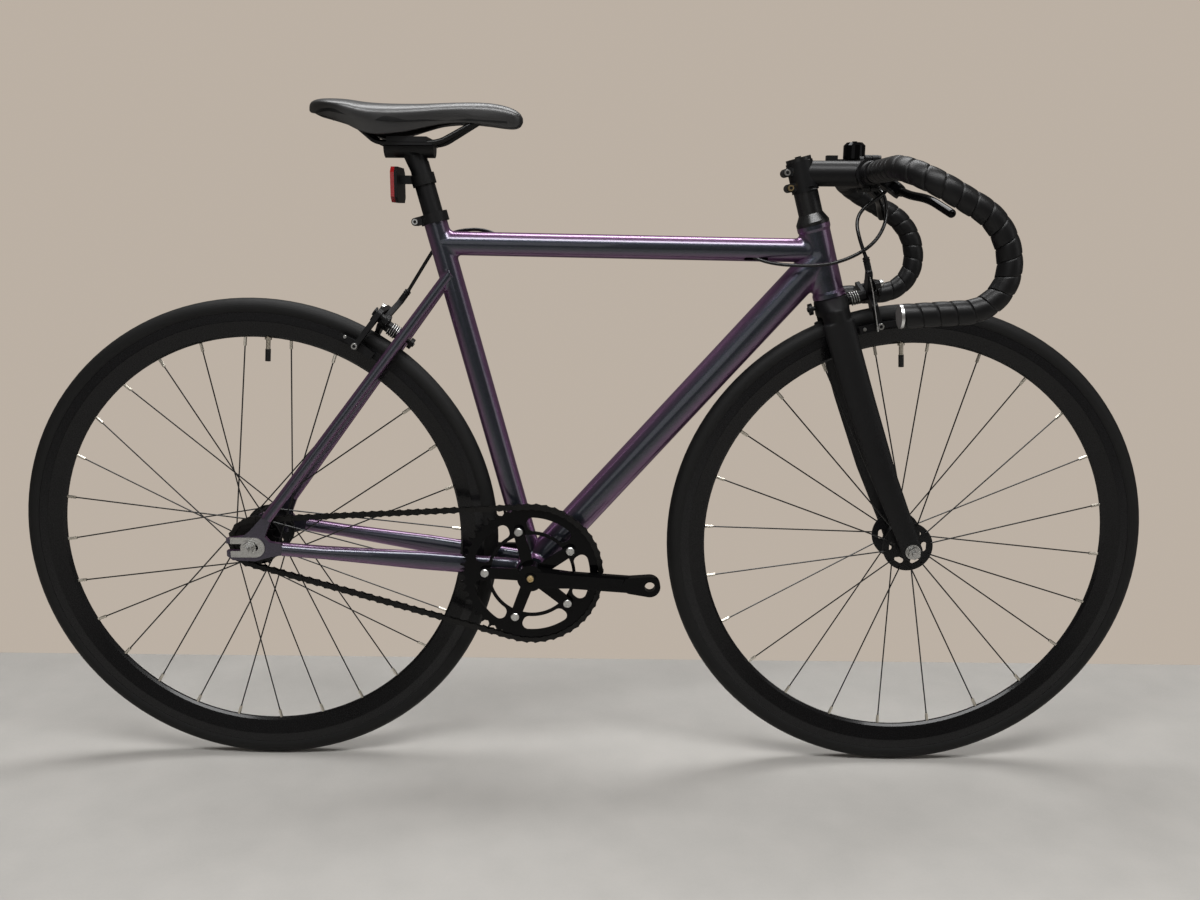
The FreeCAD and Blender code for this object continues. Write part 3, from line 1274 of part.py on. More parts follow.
# stem: steerer clamp, arm, half of the bar clamp; faceplate in front of the split
arm_root = stem_top - steer_up * d.stem_arm_drop
bar_centre = arm_root + AHEAD * d.stem_reach
clamp_half = LEFT * (d.stem_clamp_width / 2)
steer_clamp = bar(d.stem_radius, stem_low, stem_top)
arm = bar(d.stem_arm_radius, arm_root, bar_centre)
bar_clamp = bar(d.stem_clamp_radius, bar_centre - clamp_half, bar_centre + clamp_half)
face_ears = []
face_bolts = []
face_mid = bar_centre - AHEAD * (d.stem_split / 2)
for side in (-1, 1):
    for rise in (-1, 1):
        place = bar_centre + LEFT * (side * d.face_bolt_side) + UP * (rise * d.face_bolt_up)
        ear_back = place - AHEAD * (d.face_ear_length / 2)
        ear_front = place + AHEAD * (d.face_ear_length / 2)
        face_ears.append(bar(d.face_ear_radius, ear_back, ear_front))
        shank = bar(d.stem_bolt_radius, ear_back + AHEAD * d.stem_bolt_short, ear_front)
        head = bar(d.stem_head_radius, ear_front, ear_front + AHEAD * d.stem_head_height)
        face_bolts.append(fused([shank, head]))
rear_ears = []
rear_bolts = []
ear_half = LEFT * (d.stem_ear_width / 2)
ear_centre = (stem_low + stem_top) * 0.5 - steer_ahead * d.stem_ear_back
for rise in (-1, 1):
    place = ear_centre + steer_up * (rise * d.stem_ear_spread / 2)
    rear_ears.append(link(place + steer_ahead * d.stem_ear_radius - ear_half, place - ear_half,
                          d.stem_ear_radius, d.stem_ear_radius, ear_half * 2))
    rear_bolts.append(fused([bar(d.stem_bolt_radius, place - ear_half, place + ear_half),
                             bar(d.stem_head_radius, place - ear_half,
                                 place - ear_half + RIGHT * d.stem_head_height)]))
whole = fused([steer_clamp, arm, bar_clamp] + face_ears + rear_ears)
whole = whole.cut(bar(d.steerer_radius + d.fit_gap, stem_low, stem_top))
whole = whole.cut(bar(d.bar_clamp_radius, bar_centre - clamp_half, bar_centre + clamp_half))
slit_low = stem_low - steer_up * d.overrun
slit_points = [slit_low + LEFT * (side * d.clamp_slit / 2) - steer_ahead * (out * 2 * d.stem_ear_back)
               for side, out in ((-1, 0), (-1, 1), (1, 1), (1, 0))]
whole = whole.cut(prism(slit_points, steer_up * (d.stem_height + 2 * d.overrun)))
bolt_room = d.stem_bolt_radius + d.fit_gap
for bolts, back, ahead in ((face_bolts, AHEAD * d.stem_reach, AHEAD * d.face_ear_length),
                           (rear_bolts, ear_half * 2, ear_half * 2)):
    middles = [bolt.BoundBox.Center for bolt in bolts]
    rooms = [bar(bolt_room, middle - back, middle + ahead) for middle in middles]
    whole = whole.cut(Part.makeCompound(rooms))
head_rooms = []
for bolt in face_bolts:
    seat = bolt.BoundBox.Center
    seat.x = bar_centre.x + d.face_ear_length / 2
    head_rooms.append(bar(d.stem_head_radius + d.fit_gap, seat, seat + AHEAD * d.stem_reach))
whole = whole.cut(Part.makeCompound(head_rooms))
big = d.stem_reach
split_back = [face_mid + LEFT * (side * big) + UP * (rise * big)
              for side, rise in ((-1, -1), (1, -1), (1, 1), (-1, 1))]
front_half = prism(split_back, AHEAD * (2 * big))
split_front = [place + AHEAD * d.stem_split for place in split_back]
back_half = prism(split_front, AHEAD * (-3 * big))
stem = max(whole.cut(front_half).Solids, key=lambda solid: solid.Volume)
faceplate = max(whole.cut(back_half).Solids, key=lambda solid: solid.Volume)
feature("stem", stem)
feature("stem_faceplate", faceplate)
group("stem_bolts", [shape_of("stem_bolt", bolt) for bolt in face_bolts + rear_bolts])

# handlebar: thick middle, then each side out, forward and round the hook to the drop
side_run = d.bar_width / 2 - d.bar_bend
slope = math.radians(d.bar_slope)
ramp_way = Vector(math.cos(slope), 0, -math.sin(slope))
bend_axis = RIGHT.cross(ramp_way)
bar_steps = [
    ("run", side_run - d.bar_cone_half),
    ("arc", bend_axis, d.bar_bend, 90),
    ("run", d.bar_ramp),
    ("arc", LEFT, d.bar_hook_upper, 90 - d.bar_slope),
    ("arc", LEFT, d.bar_hook_lower, 90 - d.bar_drop_slope),
    ("run", d.bar_drop_length)]
bar_path, bar_end, bar_heading = walk(bar_centre + RIGHT * d.bar_cone_half, RIGHT, bar_steps)
side_bar = swept(bar_path, d.bar_radius, d.bar_radius - d.bar_wall)
centre_half = RIGHT * d.bar_clamp_half
centre_bar = bar(d.bar_clamp_radius, bar_centre + centre_half, bar_centre - centre_half)
cones = []
for way in (RIGHT, LEFT):
    cones.append(Part.makeCone(d.bar_clamp_radius, d.bar_radius, d.bar_cone_half - d.bar_clamp_half,
                               bar_centre + way * d.bar_clamp_half, way))
bore_half = LEFT * d.bar_cone_half
bar_bore = bar(d.bar_radius - d.bar_wall, bar_centre - bore_half, bar_centre + bore_half)
bar_middle = fused([centre_bar] + cones).cut(bar_bore)
handlebar = fused([bar_middle, side_bar, side_bar.mirror(bar_centre, LEFT)])
feature("handlebar", handlebar)

tape_steps = [("run", side_run - d.tape_start)] + bar_steps[1:]
tape_path, tape_end, tape_heading = walk(bar_centre + RIGHT * d.tape_start, RIGHT, tape_steps)
tape = swept(tape_path, d.bar_radius + d.tape_thick, d.bar_radius)
tape_item = shape_of("tape_right", tape)
group("bar_tape", [tape_item, mirrored("tape_left", tape_item)])

plug = fused([bar(d.plug_radius, bar_end, bar_end + bar_heading * d.plug_thick),
              bar(d.bar_radius - d.bar_wall - d.fit_gap, bar_end - bar_heading * d.plug_stem, bar_end)])
plug_item = shape_of("plug_right", plug)
group("bar_plugs", [plug_item, mirrored("plug_left", plug_item)])

# cross-top levers: worked out in the lever plane, ahead of the bar and out to the right
lever_lean = math.radians(d.lever_slope)
lever_ahead = Vector(math.cos(lever_lean), 0, -math.sin(lever_lean))
lever_up = Vector(math.sin(lever_lean), 0, math.cos(lever_lean))


def lever_place(side, ahead, up=0):
    return bar_centre + RIGHT * side + lever_ahead * ahead + lever_up * up


lever_half = d.lever_thick / 2
cheek_gap = lever_half + d.part_gap
pivot = lever_place(d.lever_pivot_side, d.lever_pivot_ahead)
ring_in = bar_centre + RIGHT * (d.lever_ring_side - d.lever_ring_width / 2)
ring_out = ring_in + RIGHT * d.lever_ring_width
ring_outer = d.bar_radius + d.lever_ring_wall
bracket_root = lever_place(d.lever_ring_side, d.bar_radius)
cheeks = []
for low in (-cheek_gap - d.lever_cheek, cheek_gap):
    cheeks.append(link(bracket_root + lever_up * low, pivot + lever_up * low, d.lever_ring_width / 2,
                       d.lever_boss_radius, lever_up * d.lever_cheek))
neck_share = 0.45
neck_end = bracket_root + (pivot - bracket_root) * neck_share
gap_up = lever_up * cheek_gap
neck = link(bracket_root - gap_up, neck_end - gap_up, d.lever_ring_width / 2, d.lever_ring_width / 2,
            gap_up * 2)
boss_room = bar(d.lever_boss_radius + d.part_gap, pivot - gap_up, pivot + gap_up)
pin_reach = lever_up * (cheek_gap + d.lever_cheek)
lever_pin = bar(d.lever_pin_radius, pivot - pin_reach, pivot + pin_reach)
stop_side = d.lever_ring_side - d.lever_ring_width / 2
stop_place = lever_place(stop_side, d.lever_pivot_ahead - d.lever_boss_radius / 2)
stop = bar(d.ferrule_radius, stop_place, Vector(stop_place.x, neck_end.y, stop_place.z))
bracket = fused([bar(ring_outer, ring_in, ring_out), neck] + cheeks)
bracket = fused([bracket.cut(boss_room), lever_pin, stop])
bracket = bracket.cut(bar(d.bar_radius, bar_centre, bar_centre + RIGHT * d.lever_tip_side))
bracket = bracket.cut(boss_room.cut(lever_pin))
bracket = max(bracket.Solids, key=lambda solid: solid.Volume)
bracket_item = shape_of("lever_bracket_right", bracket)
group("lever_brackets", [bracket_item, mirrored("lever_bracket_left", bracket_item)])

knee = lever_place(d.lever_knee_side, d.lever_knee_ahead)
lever_tip = lever_place(d.lever_tip_side, d.lever_tip_ahead)
lever_bow = lever_place(d.lever_bow_side, d.lever_bow_ahead, d.lever_bow_up)
lever_depth = lever_up * d.lever_thick
lever_low = lever_up * -lever_half
knee_way = (knee - pivot).normalize()
blade_start = pivot + knee_way * d.lever_neck
lever_line = cord_path([blade_start, knee, lever_bow, lever_tip])
neck_lap_share = 0.1
neck_lap = knee_way * (d.lever_neck * neck_lap_share)
lever = fused([
    link(pivot + lever_low, blade_start + lever_low + neck_lap, d.lever_boss_radius - d.part_gap,
         d.lever_blade_radius, lever_depth),
    swept(lever_line, d.lever_blade_radius), Part.makeSphere(d.lever_blade_radius, lever_tip)])
lever = lever.cut(bar(d.lever_pin_radius + d.fit_gap, pivot - pin_reach, pivot + pin_reach))
lever_item = shape_of("lever_right", lever)
keep("lever_right", lever_item)
keep("lever_left", mirrored("lever_left", lever_item))

# bell on the left of the bar
bell_bar = bar_centre + LEFT * d.bell_side
bell_foot = bell_bar + UP * (d.bar_radius + d.bell_strap_wall) - AHEAD * d.bell_back
strap_half = LEFT * (d.bell_strap_width / 2)
strap = ring(d.bar_radius + d.bell_strap_wall, d.bar_radius, bell_bar - strap_half, bell_bar + strap_half)
saddle_block = link(bell_bar + UP * d.bar_radius - strap_half, bell_foot - strap_half,
                    d.bell_post_radius, d.bell_post_radius, strap_half * 2)
tab_low = bell_foot + UP * (d.bell_post_radius + d.part_gap)
dome_low = tab_low + UP * (d.bell_tab_thick + d.part_gap)
dome_top = dome_low + UP * d.bell_height
post = bar(d.bell_post_radius, bell_foot, dome_top - UP * d.bell_wall)
bar_room = bar(d.bar_radius, bell_bar - strap_half, bell_bar + strap_half)
bell_base = fused([strap, saddle_block, post]).cut(bar_room)
feature("bell_base", bell_base)
dome = turned("bell_cup", [outline(
    ("bell_radius - bell_wall", "0"),
    ("bell_radius", "0"),
    ("bell_radius", "bell_height - bell_round"),
    ("bell_radius - bell_round", "bell_height"),
    ("0", "bell_height"),
    ("0", "bell_height - bell_wall"),
    ("bell_radius - bell_round", "bell_height - bell_wall"),
    ("bell_radius - bell_wall", "bell_height - bell_round"))], Placement(dome_low, Rotation(LEFT, UP)))
screw = shape_of("bell_screw", bar(d.bell_screw_radius, dome_top, dome_top + UP * d.bell_wall))
group("bell_dome", [dome, screw])

# thumb tab: a flat finger behind the dome that swings about the post
tab_end = tab_low - AHEAD * (d.bell_tab_length - d.bell_tab_width / 2)
tab = link(tab_low, tab_end, d.bell_post_radius + d.bell_tab_thick, d.bell_tab_width / 2,
           UP * d.bell_tab_thick)
thumb_corner = tab_low + Vector(-d.bell_tab_length, -d.bell_tab_width / 2, 0)
thumb_top = d.bell_tab_thick + d.bell_thumb_height
thumb = Part.makeBox(d.bell_thumb_length, d.bell_tab_width, thumb_top, thumb_corner)
tab = fused([tab, thumb])
tab = tab.cut(bar(d.bell_post_radius + d.fit_gap, tab_low, tab_low + UP * d.bell_tab_thick))
feature("bell_tab", tab)


# brake calipers: x away from the frame, z up, the cable on the -y side
def caliper(prefix, origin, ahead, up, stud_length, axle):
    place = frame_at(origin, ahead, up)
    plate = AHEAD * d.brake_plate
    centre = Vector()
    side_pivot = Vector(0, d.brake_pivot_side, d.brake_pivot_up)
    arm_depth = AHEAD * d.brake_arm
    a_low = d.brake_plate + d.part_gap
    b_low = a_low + d.brake_arm + d.part_gap
    shaft_end = AHEAD * (b_low + d.brake_arm + d.brake_cap_gap)
    cap_end = shaft_end + AHEAD * d.brake_cap
    side_cap_share = 0.8
    base = fused([
        link(centre, side_pivot, d.brake_boss, d.brake_boss, plate),
        bar(d.brake_shaft, centre, shaft_end), bar(d.brake_shaft, side_pivot, side_pivot + shaft_end),
        bar(d.brake_stud, centre - AHEAD * stud_length, centre),
        bar(d.brake_boss, centre - AHEAD * d.brake_spacer, centre),
        bar(d.brake_boss, shaft_end, cap_end),
        bar(d.brake_boss * side_cap_share, side_pivot + shaft_end, side_pivot + cap_end)])
    nut_back = stud_length - d.stud_tail
    nut = ring(d.brake_boss, d.brake_stud + d.fit_gap, centre - AHEAD * nut_back,
               centre - AHEAD * (nut_back - d.brake_plate))
    base.Placement = place
    nut.Placement = place.multiply(nut.Placement)
    group(prefix + "_brake_base", [shape_of(prefix + "_bracket", base),
                                   shape_of(prefix + "_stud_nut", nut)])

    rim_half = d.rim_width / 2
    pad_in = rim_half + d.pad_gap
    shoe_out = pad_in + d.pad_thick + d.shoe_thick
    shaft_room = d.brake_shaft + d.fit_gap
    for letter, side, low in (("a", -1, a_low), ("b", 1, b_low)):
        start = AHEAD * low
        elbow = Vector(0, side * d.brake_elbow_side, -d.brake_elbow_down)
        if letter == "a":
            hub_point = centre
            cable_point = Vector(0, -d.brake_cable_side, d.brake_adjuster_up)
        else:
            hub_point = side_pivot
            cable_point = Vector(0, -d.brake_cable_side, d.brake_anchor_up)
        leg_out = Vector(0, side * (shoe_out + d.brake_leg_radius), -d.brake_reach)
        stretches = [(hub_point, cable_point, d.brake_boss), (hub_point, elbow, d.brake_boss),
                     (elbow, leg_out, d.brake_leg_radius)]
        pieces = []
        for begin, finish, radius in stretches:
            pieces.append(link(start + begin, start + finish, radius, d.brake_leg_radius, arm_depth))
        arm_solid = fused(pieces).cut(bar(shaft_room, start + hub_point - AHEAD * d.overrun,
                                          start + hub_point + AHEAD * (2 * d.brake_arm)))
        wire_line = start + arm_depth * 0.5 + RIGHT * d.brake_cable_side
        wire_way = bar(d.adjuster_bore, wire_line - UP * d.brake_reach, wire_line + UP * (2 * d.brake_reach))
        if letter == "a":
            top = start + arm_depth * 0.5 + cable_point
            barrel = bar(d.adjuster_radius, top, top + UP * d.adjuster_length)
            arm_solid = fused([arm_solid, barrel]).cut(wire_way)
        # pad, holder and bolt along the rim
        middle = Vector(low + d.brake_arm / 2, 0, -d.brake_reach)
        long_half = d.pad_length / 2
        tall_half = d.pad_height / 2

        def block(near_side, far_side, extra):
            corner = middle + Vector(-long_half - extra, 0, -tall_half - extra)
            points = [corner + Vector(0, side * y, z) for y, z in
                      ((near_side, 0), (far_side, 0), (far_side, 2 * (tall_half + extra)),
                       (near_side, 2 * (tall_half + extra)))]
            return prism(points, AHEAD * (2 * (long_half + extra)))
        # both end in a curve inside the rim edge
        wheel_middle = place.inverse().multVec(axle)
        side_reach = LEFT * d.brake_reach
        pad_limit = d.rim_radius - d.pad_edge
        pad_room = bar(pad_limit, wheel_middle - side_reach, wheel_middle + side_reach)
        shoe_room = bar(pad_limit + d.shoe_extra, wheel_middle - side_reach, wheel_middle + side_reach)
        pad = block(pad_in, pad_in + d.pad_thick, 0).common(pad_room)
        shoe = block(pad_in + d.pad_thick, shoe_out, d.shoe_extra).common(shoe_room)
        bolt_start = middle + Vector(0, side * shoe_out, 0)
        head_start = middle + Vector(0, side * (shoe_out + 2 * d.brake_leg_radius), 0)
        bolt_way = Vector(0, side, 0)
        bolt = fused([bar(d.pad_bolt_radius, bolt_start, head_start),
                      bar(d.pad_head_radius, head_start, head_start + bolt_way * d.pad_head_height)])
        bolt_in = bolt_start - bolt_way * shoe_out
        head_out = head_start + bolt_way * d.brake_reach
        arm_solid = arm_solid.cut(block(0, shoe_out, d.shoe_extra))
        arm_solid = arm_solid.cut(bar(d.pad_bolt_radius, bolt_in, head_start + bolt_way * d.overrun))
        arm_solid = arm_solid.cut(bar(d.pad_head_radius + d.fit_gap, head_start, head_out))
        arm_solid = max(arm_solid.Solids, key=lambda solid: solid.Volume)
        solids = [arm_solid, shoe, pad, bolt]
        if letter == "b":
            beside_wire = d.wire_radius + d.anchor_radius + d.part_gap
            mark = start + arm_depth + cable_point + LEFT * beside_wire
            solids.append(bar(d.anchor_radius, mark, mark + AHEAD * d.anchor_height))
        items = []
        for solid in solids:
            solid.Placement = place.multiply(solid.Placement)
            items.append(shape_of(prefix + "_arm_piece", solid))
        group("%s_brake_arm_%s" % (prefix, letter), items)
    adjuster_top = d.brake_adjuster_up + d.adjuster_length
    return place, Vector(a_low + d.brake_arm / 2, -d.brake_cable_side, adjuster_top)


stud_rest = d.brake_spacer + d.stud_gap + d.brake_plate + d.stud_tail
front_origin = crown_bolt + steer_ahead * (crown_fore + d.part_gap + d.brake_spacer)
front_place, adjuster_mark = caliper("front", front_origin, steer_ahead, steer_up,
                                     d.crown_depth + stud_rest, front_axle)
rear_origin = bridge_middle + stay_back * (d.bridge_radius + d.part_gap + d.brake_spacer)
rear_place, adjuster_mark = caliper("rear", rear_origin, stay_back, stay_up,
                                    2 * d.bridge_radius + stud_rest, rear_axle)


# brake housings: routes as points, then a boot over the adjuster and the bare wire to the anchor
def cable_end(place):
    top = place.multVec(adjuster_mark + UP * d.part_gap)
    above = place.multVec(adjuster_mark + UP * (d.part_gap + d.boot_length))
    wire_low = place.multVec(adjuster_mark - UP * (d.adjuster_length + d.brake_reach / 2))
    return top, above, wire_low


def housing(points, place):
    top, above, wire_low = cable_end(place)
    path = cord_path(points + [above])
    tube_solid = swept(path, d.housing_radius)
    boot = bar(d.boot_radius, above, top)
    wire = bar(d.wire_radius, top, wire_low)
    print("housing length %.1f, volume share %.4f" % (
        path.Length, tube_solid.Volume / (path.Length * math.pi * d.housing_radius ** 2)))
    return fused([tube_solid, boot, wire])


right_exit = stop_place + LEFT * d.part_gap
front_top, front_above, front_wire = cable_end(front_place)
front_route = [
    right_exit,
    right_exit + Vector(0, 8, 0),
    right_exit + Vector(-6, 18, -14),
    Vector(front_above.x + 2, -8, front_above.z + 72),
    Vector(front_above.x - 11, -14, front_above.z + 48),
    Vector(front_above.x - 8, -26, front_above.z + 22)]
feature("front_cable", housing(front_route, front_place))

left_exit = Vector(right_exit.x, -right_exit.y, right_exit.z)
port_slope_share = 0.35
port_inner_share = 0.5
port_clear = d.top_tube_radius + 3 * d.housing_radius
port_inside = (port_front - top_along * (port_slope_share * d.port_length)
               + front_port_way * (port_inner_share * d.top_tube_radius))
port_outside = port_front + top_along * (port_slope_share * d.port_length) + front_port_way * port_clear
loop_route = [
    left_exit,
    left_exit + Vector(0, -14, 0),
    Vector(left_exit.x + 4, 0, left_exit.z - 14),
    Vector(left_exit.x + 2, -20, left_exit.z - 42),
    Vector(left_exit.x - 16, -34, left_exit.z - 72),
    Vector(left_exit.x - 50, -40, left_exit.z - 92),
    Vector(left_exit.x - 88, -38, left_exit.z - 102),
    port_outside,
    port_inside]
loop_path = cord_path(loop_route)
loop = swept(loop_path, d.housing_radius)
print("loop length %.1f, volume share %.4f" % (
    loop_path.Length, loop.Volume / (loop_path.Length * math.pi * d.housing_radius ** 2)))
feature("rear_cable_loop", loop)

rear_inside = (port_rear + top_along * (port_slope_share * d.port_length)
               + rear_port_way * (port_inner_share * d.top_tube_radius))
rear_outside = port_rear - top_along * (port_slope_share * d.port_length) + rear_port_way * port_clear
rear_top, rear_above, rear_wire = cable_end(rear_place)
seat_clear = d.seat_tube_radius + 4 * d.housing_radius
rear_route = [
    rear_inside,
    rear_outside,
    Vector(top_tube_seat.x + 16, seat_clear, rear_outside.z - 2),
    Vector(top_tube_seat.x - 8, seat_clear + 4, rear_outside.z - 18),
    Vector(rear_above.x + 32, seat_clear + 5, rear_above.z + 50)]
feature("rear_cable", housing(rear_route, rear_place))
print("cord radii", " ".join("%.0f" % radius for radius in radii))

# seatpost: tube, set-back head with a half-round cradle, clamp plates over the rails and one bolt
post_top = seat_top + seat_up * d.post_up
post_low = seat_top - seat_up * d.post_down
cradle = post_top + UP * d.head_up - AHEAD * d.head_back
cradle_half = AHEAD * (d.cradle_length / 2)
rail_height = cradle.z + d.rail_radius
neck_low = post_top - seat_up * d.post_radius
neck_middle_share = 0.45
neck_swell_share = 1.15
neck_sink_share = 0.4
neck_wide_share = 0.8
neck_long_share = 0.4
neck = Part.makeLoft([
    oval(neck_low, LEFT, AHEAD, d.post_radius, d.post_radius, True),
    oval(post_top + (cradle - post_top) * neck_middle_share, LEFT, AHEAD,
         d.post_radius, d.post_radius * neck_swell_share, True),
    oval(cradle - UP * (d.cradle_radius * neck_sink_share), LEFT, AHEAD,
         d.cradle_radius * neck_wide_share, d.cradle_length * neck_long_share, True)], True, True)
post = bar(d.post_radius, post_low, post_top)
seat_block = bar(d.cradle_radius, cradle - cradle_half, cradle + cradle_half)
block_top = cradle + UP * (-d.part_gap)
top_points = [block_top + AHEAD * (a * d.cradle_length) + LEFT * (b * d.cradle_width)
              for a, b in ((-1, -1), (1, -1), (1, 1), (-1, 1))]
head_cut = prism(top_points, UP * (4 * d.cradle_radius))
post_bore = bar(d.post_radius - d.post_wall, post_low, neck_low)
post = fused([post, neck, seat_block.cut(head_cut)]).cut(post_bore)
upper_share = 0.8
plate_wide = d.cradle_width + 4 * d.rail_radius
plate_edge = RIGHT * (plate_wide / 2)
upper_level = UP * (d.rail_radius + d.part_gap)
lower_plate = Part.makeBox(d.cradle_length, plate_wide, d.rail_radius - d.part_gap,
                           cradle - cradle_half + plate_edge)
upper_plate = Part.makeBox(d.cradle_length * upper_share, plate_wide, 2 * d.rail_radius,
                           cradle - cradle_half * upper_share + plate_edge + upper_level)
rail_cut = [bar(d.rail_radius, Vector(cradle.x - d.saddle_length, side * d.rail_side, rail_height),
                Vector(cradle.x + d.saddle_length, side * d.rail_side, rail_height)) for side in (-1, 1)]
lower_plate = lower_plate.cut(Part.makeCompound(rail_cut))
upper_plate = upper_plate.cut(Part.makeCompound(rail_cut))
post_bolt_low = cradle - UP * (d.cradle_radius + d.clamp_head_height)
post_bolt_high = cradle + UP * (3 * d.rail_radius + d.part_gap)
bolt_way = bar(d.clamp_bolt_radius + d.fit_gap, post_bolt_low, post_bolt_high)
post_bolt = fused([bar(d.clamp_bolt_radius, post_bolt_low, post_bolt_high),
                   bar(d.clamp_head_radius, post_bolt_low, post_bolt_low + UP * d.clamp_head_height)])
head_room = bar(d.clamp_head_radius + d.fit_gap, post_bolt_low - UP * d.cradle_radius,
                post_bolt_low + UP * d.clamp_head_height)
post = post.cut(bolt_way).cut(head_room)
post = max(post.Solids, key=lambda solid: solid.Volume)
group("seatpost", [shape_of("post", post), shape_of("lower_clamp", lower_plate.cut(bolt_way)),
                   shape_of("upper_clamp", upper_plate.cut(bolt_way)), shape_of("post_bolt", post_bolt)])

# saddle cover: sections from tail to nose, as shares of length, width, depth and crown
saddle_start = rear_axle.x + d.saddle_tail
saddle_top = rail_height + d.saddle_rise
saddle_shares = [
    # along, half width, top, skirt depth
    (0.0, 0.30, -0.10, 0.36),
    (0.06, 0.66, 0.02, 0.58),
    (0.20, 1.00, 0.04, 1.00),
    (0.33, 0.86, -0.03, 1.12),
    (0.46, 0.58, -0.07, 0.92),
    (0.60, 0.38, -0.05, 0.68),
    (0.77, 0.30, 0.02, 0.74),
    (0.93, 0.26, -0.06, 0.72),
    (1.0, 0.14, -0.36, 0.32)]


nose_share = 0.26
crown_share = 0.4
tuck_share = 0.88
bulge_share = 0.12


def saddle_section(share, grow):
    along_share, wide_share, top_share, skirt_share = share
    x = saddle_start + along_share * d.saddle_length
    nose_half = d.saddle_nose_width / 2 * min(1, wide_share / nose_share)
    wide = max(wide_share * d.saddle_width / 2, nose_half) - grow
    tuck = wide * tuck_share
    top = saddle_top + top_share * d.saddle_depth - grow
    edge = top - min(d.saddle_crown, wide * crown_share)
    low = top + grow - skirt_share * d.saddle_depth
    middle = (edge + low) / 2
    bulge = (wide + tuck) / 2 + (edge - low) * bulge_share
    left_edge = Vector(x, wide, edge)
    left_low = Vector(x, tuck, low)
    right_edge = Vector(x, -wide, edge)
    right_low = Vector(x, -tuck, low)
    return Part.Wire([
        Part.LineSegment(right_low, left_low).toShape(),
        Part.Arc(left_low, Vector(x, bulge, middle), left_edge).toShape(),
        Part.Arc(left_edge, Vector(x, 0, top), right_edge).toShape(),
        Part.Arc(right_edge, Vector(x, -bulge, middle), right_low).toShape()])


saddle_cover = Part.makeLoft([saddle_section(share, 0) for share in saddle_shares], True, False)
hollow_sections = [saddle_section(share, d.shell_thick) for share in saddle_shares[1:-1]]
cover_hollow = Part.makeLoft(hollow_sections, True, False)
cover_hollow.translate(UP * -d.saddle_crown)
shell_hollow = cover_hollow.copy()
shell_hollow.translate(UP * -d.shell_thick)
feature("saddle_cover", saddle_cover.cut(cover_hollow))
saddle_shell = cover_hollow.cut(shell_hollow)
saddle_shell = max(saddle_shell.Solids, key=lambda solid: solid.Volume)
feature("saddle_shell", saddle_shell)

# rails: from the nose down to the clamp, level through it and up to the tail
rail_nose_share = 0.82
rail_tail_share = 0.17
rail_level_share = 0.62
rail_bend_share = 0.16
nose_side_share = 0.4
tail_side_share = 1.2
nose_x = saddle_start + rail_nose_share * d.saddle_length
tail_x = saddle_start + rail_tail_share * d.saddle_length
level_half = rail_level_share * d.cradle_length
rails = []
for side in (-1, 1):
    off = side * d.rail_side
    rail_path = cord_path([
        Vector(nose_x, off * nose_side_share, saddle_top - d.rail_nose_drop),
        Vector(cradle.x + level_half, off, rail_height),
        Vector(cradle.x - level_half, off, rail_height),
        Vector(tail_x, off * tail_side_share, saddle_top - d.rail_tail_drop)], rail_bend_share)
    rails.append(shape_of("rail", swept(rail_path, d.rail_radius - d.fit_gap)))
group("saddle_rails", rails)

# reflector behind the post: clamp band with an arm, housing and lens
band_middle = seat_top + seat_up * d.reflector_up
band_half = seat_up * (d.bracket_height / 2)
band = ring(d.post_radius + d.bracket_wall, d.post_radius, band_middle - band_half, band_middle + band_half)
lens_face = band_middle - AHEAD * d.reflector_back - UP * (d.bracket_height / 2)
housing_front = lens_face + AHEAD * d.reflector_thick
arm_half = d.bracket_arm / 2
arm_start = Vector(housing_front.x, -arm_half, band_middle.z - arm_half)
arm_end = band_middle.x - d.post_radius
reflector_arm = Part.makeBox(arm_end - housing_front.x, d.bracket_arm, d.bracket_arm, arm_start)
post_room = bar(d.post_radius, band_middle - band_half * 3, band_middle + band_half * 3)
reflector_arm = reflector_arm.cut(post_room)


def reflector_plate(back, front):
    wide = d.reflector_width / 2
    tall = d.reflector_height / 2
    short = wide - d.reflector_corner
    low = tall - d.reflector_corner
    points = [Vector(back, y, lens_face.z + z) for y, z in (
        (wide, low), (short, tall), (-short, tall), (-wide, low),
        (-wide, -low), (-short, -tall), (short, -tall), (wide, -low))]
    return prism(points, AHEAD * (front - back))


reflector_case = reflector_plate(lens_face.x + d.reflector_lens, housing_front.x)
bracket_solid = fused([band, reflector_arm])
group("reflector_bracket", [shape_of("reflector_band", bracket_solid),
                            shape_of("reflector_case", reflector_case)])
feature("reflector_lens", reflector_plate(lens_face.x, lens_face.x + d.reflector_lens))

# check everything, then write one file per node
doc.recompute()
faults = []
for item in doc.Objects:
    if "Invalid" in item.State or "Error" in item.State:
        faults.append("%s: %s" % (item.Label, ", ".join(item.State)))
for item in nodes:
    if item.Shape.isNull() or not item.Shape.isValid() or not item.Shape.Solids:
        faults.append("%s: no valid solid" % item.Label)
if faults:
    raise RuntimeError("; ".join(faults))
os.makedirs("parts", exist_ok=True)
for item in nodes:
    item.Shape.exportStep("parts/%s.step" % item.Label)
print("%d nodes, %d solids" % (len(nodes), sum(len(item.Shape.Solids) for item in nodes)))
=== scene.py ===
import bpy
import math
from bisect import bisect_right
from mathutils import Matrix, Vector


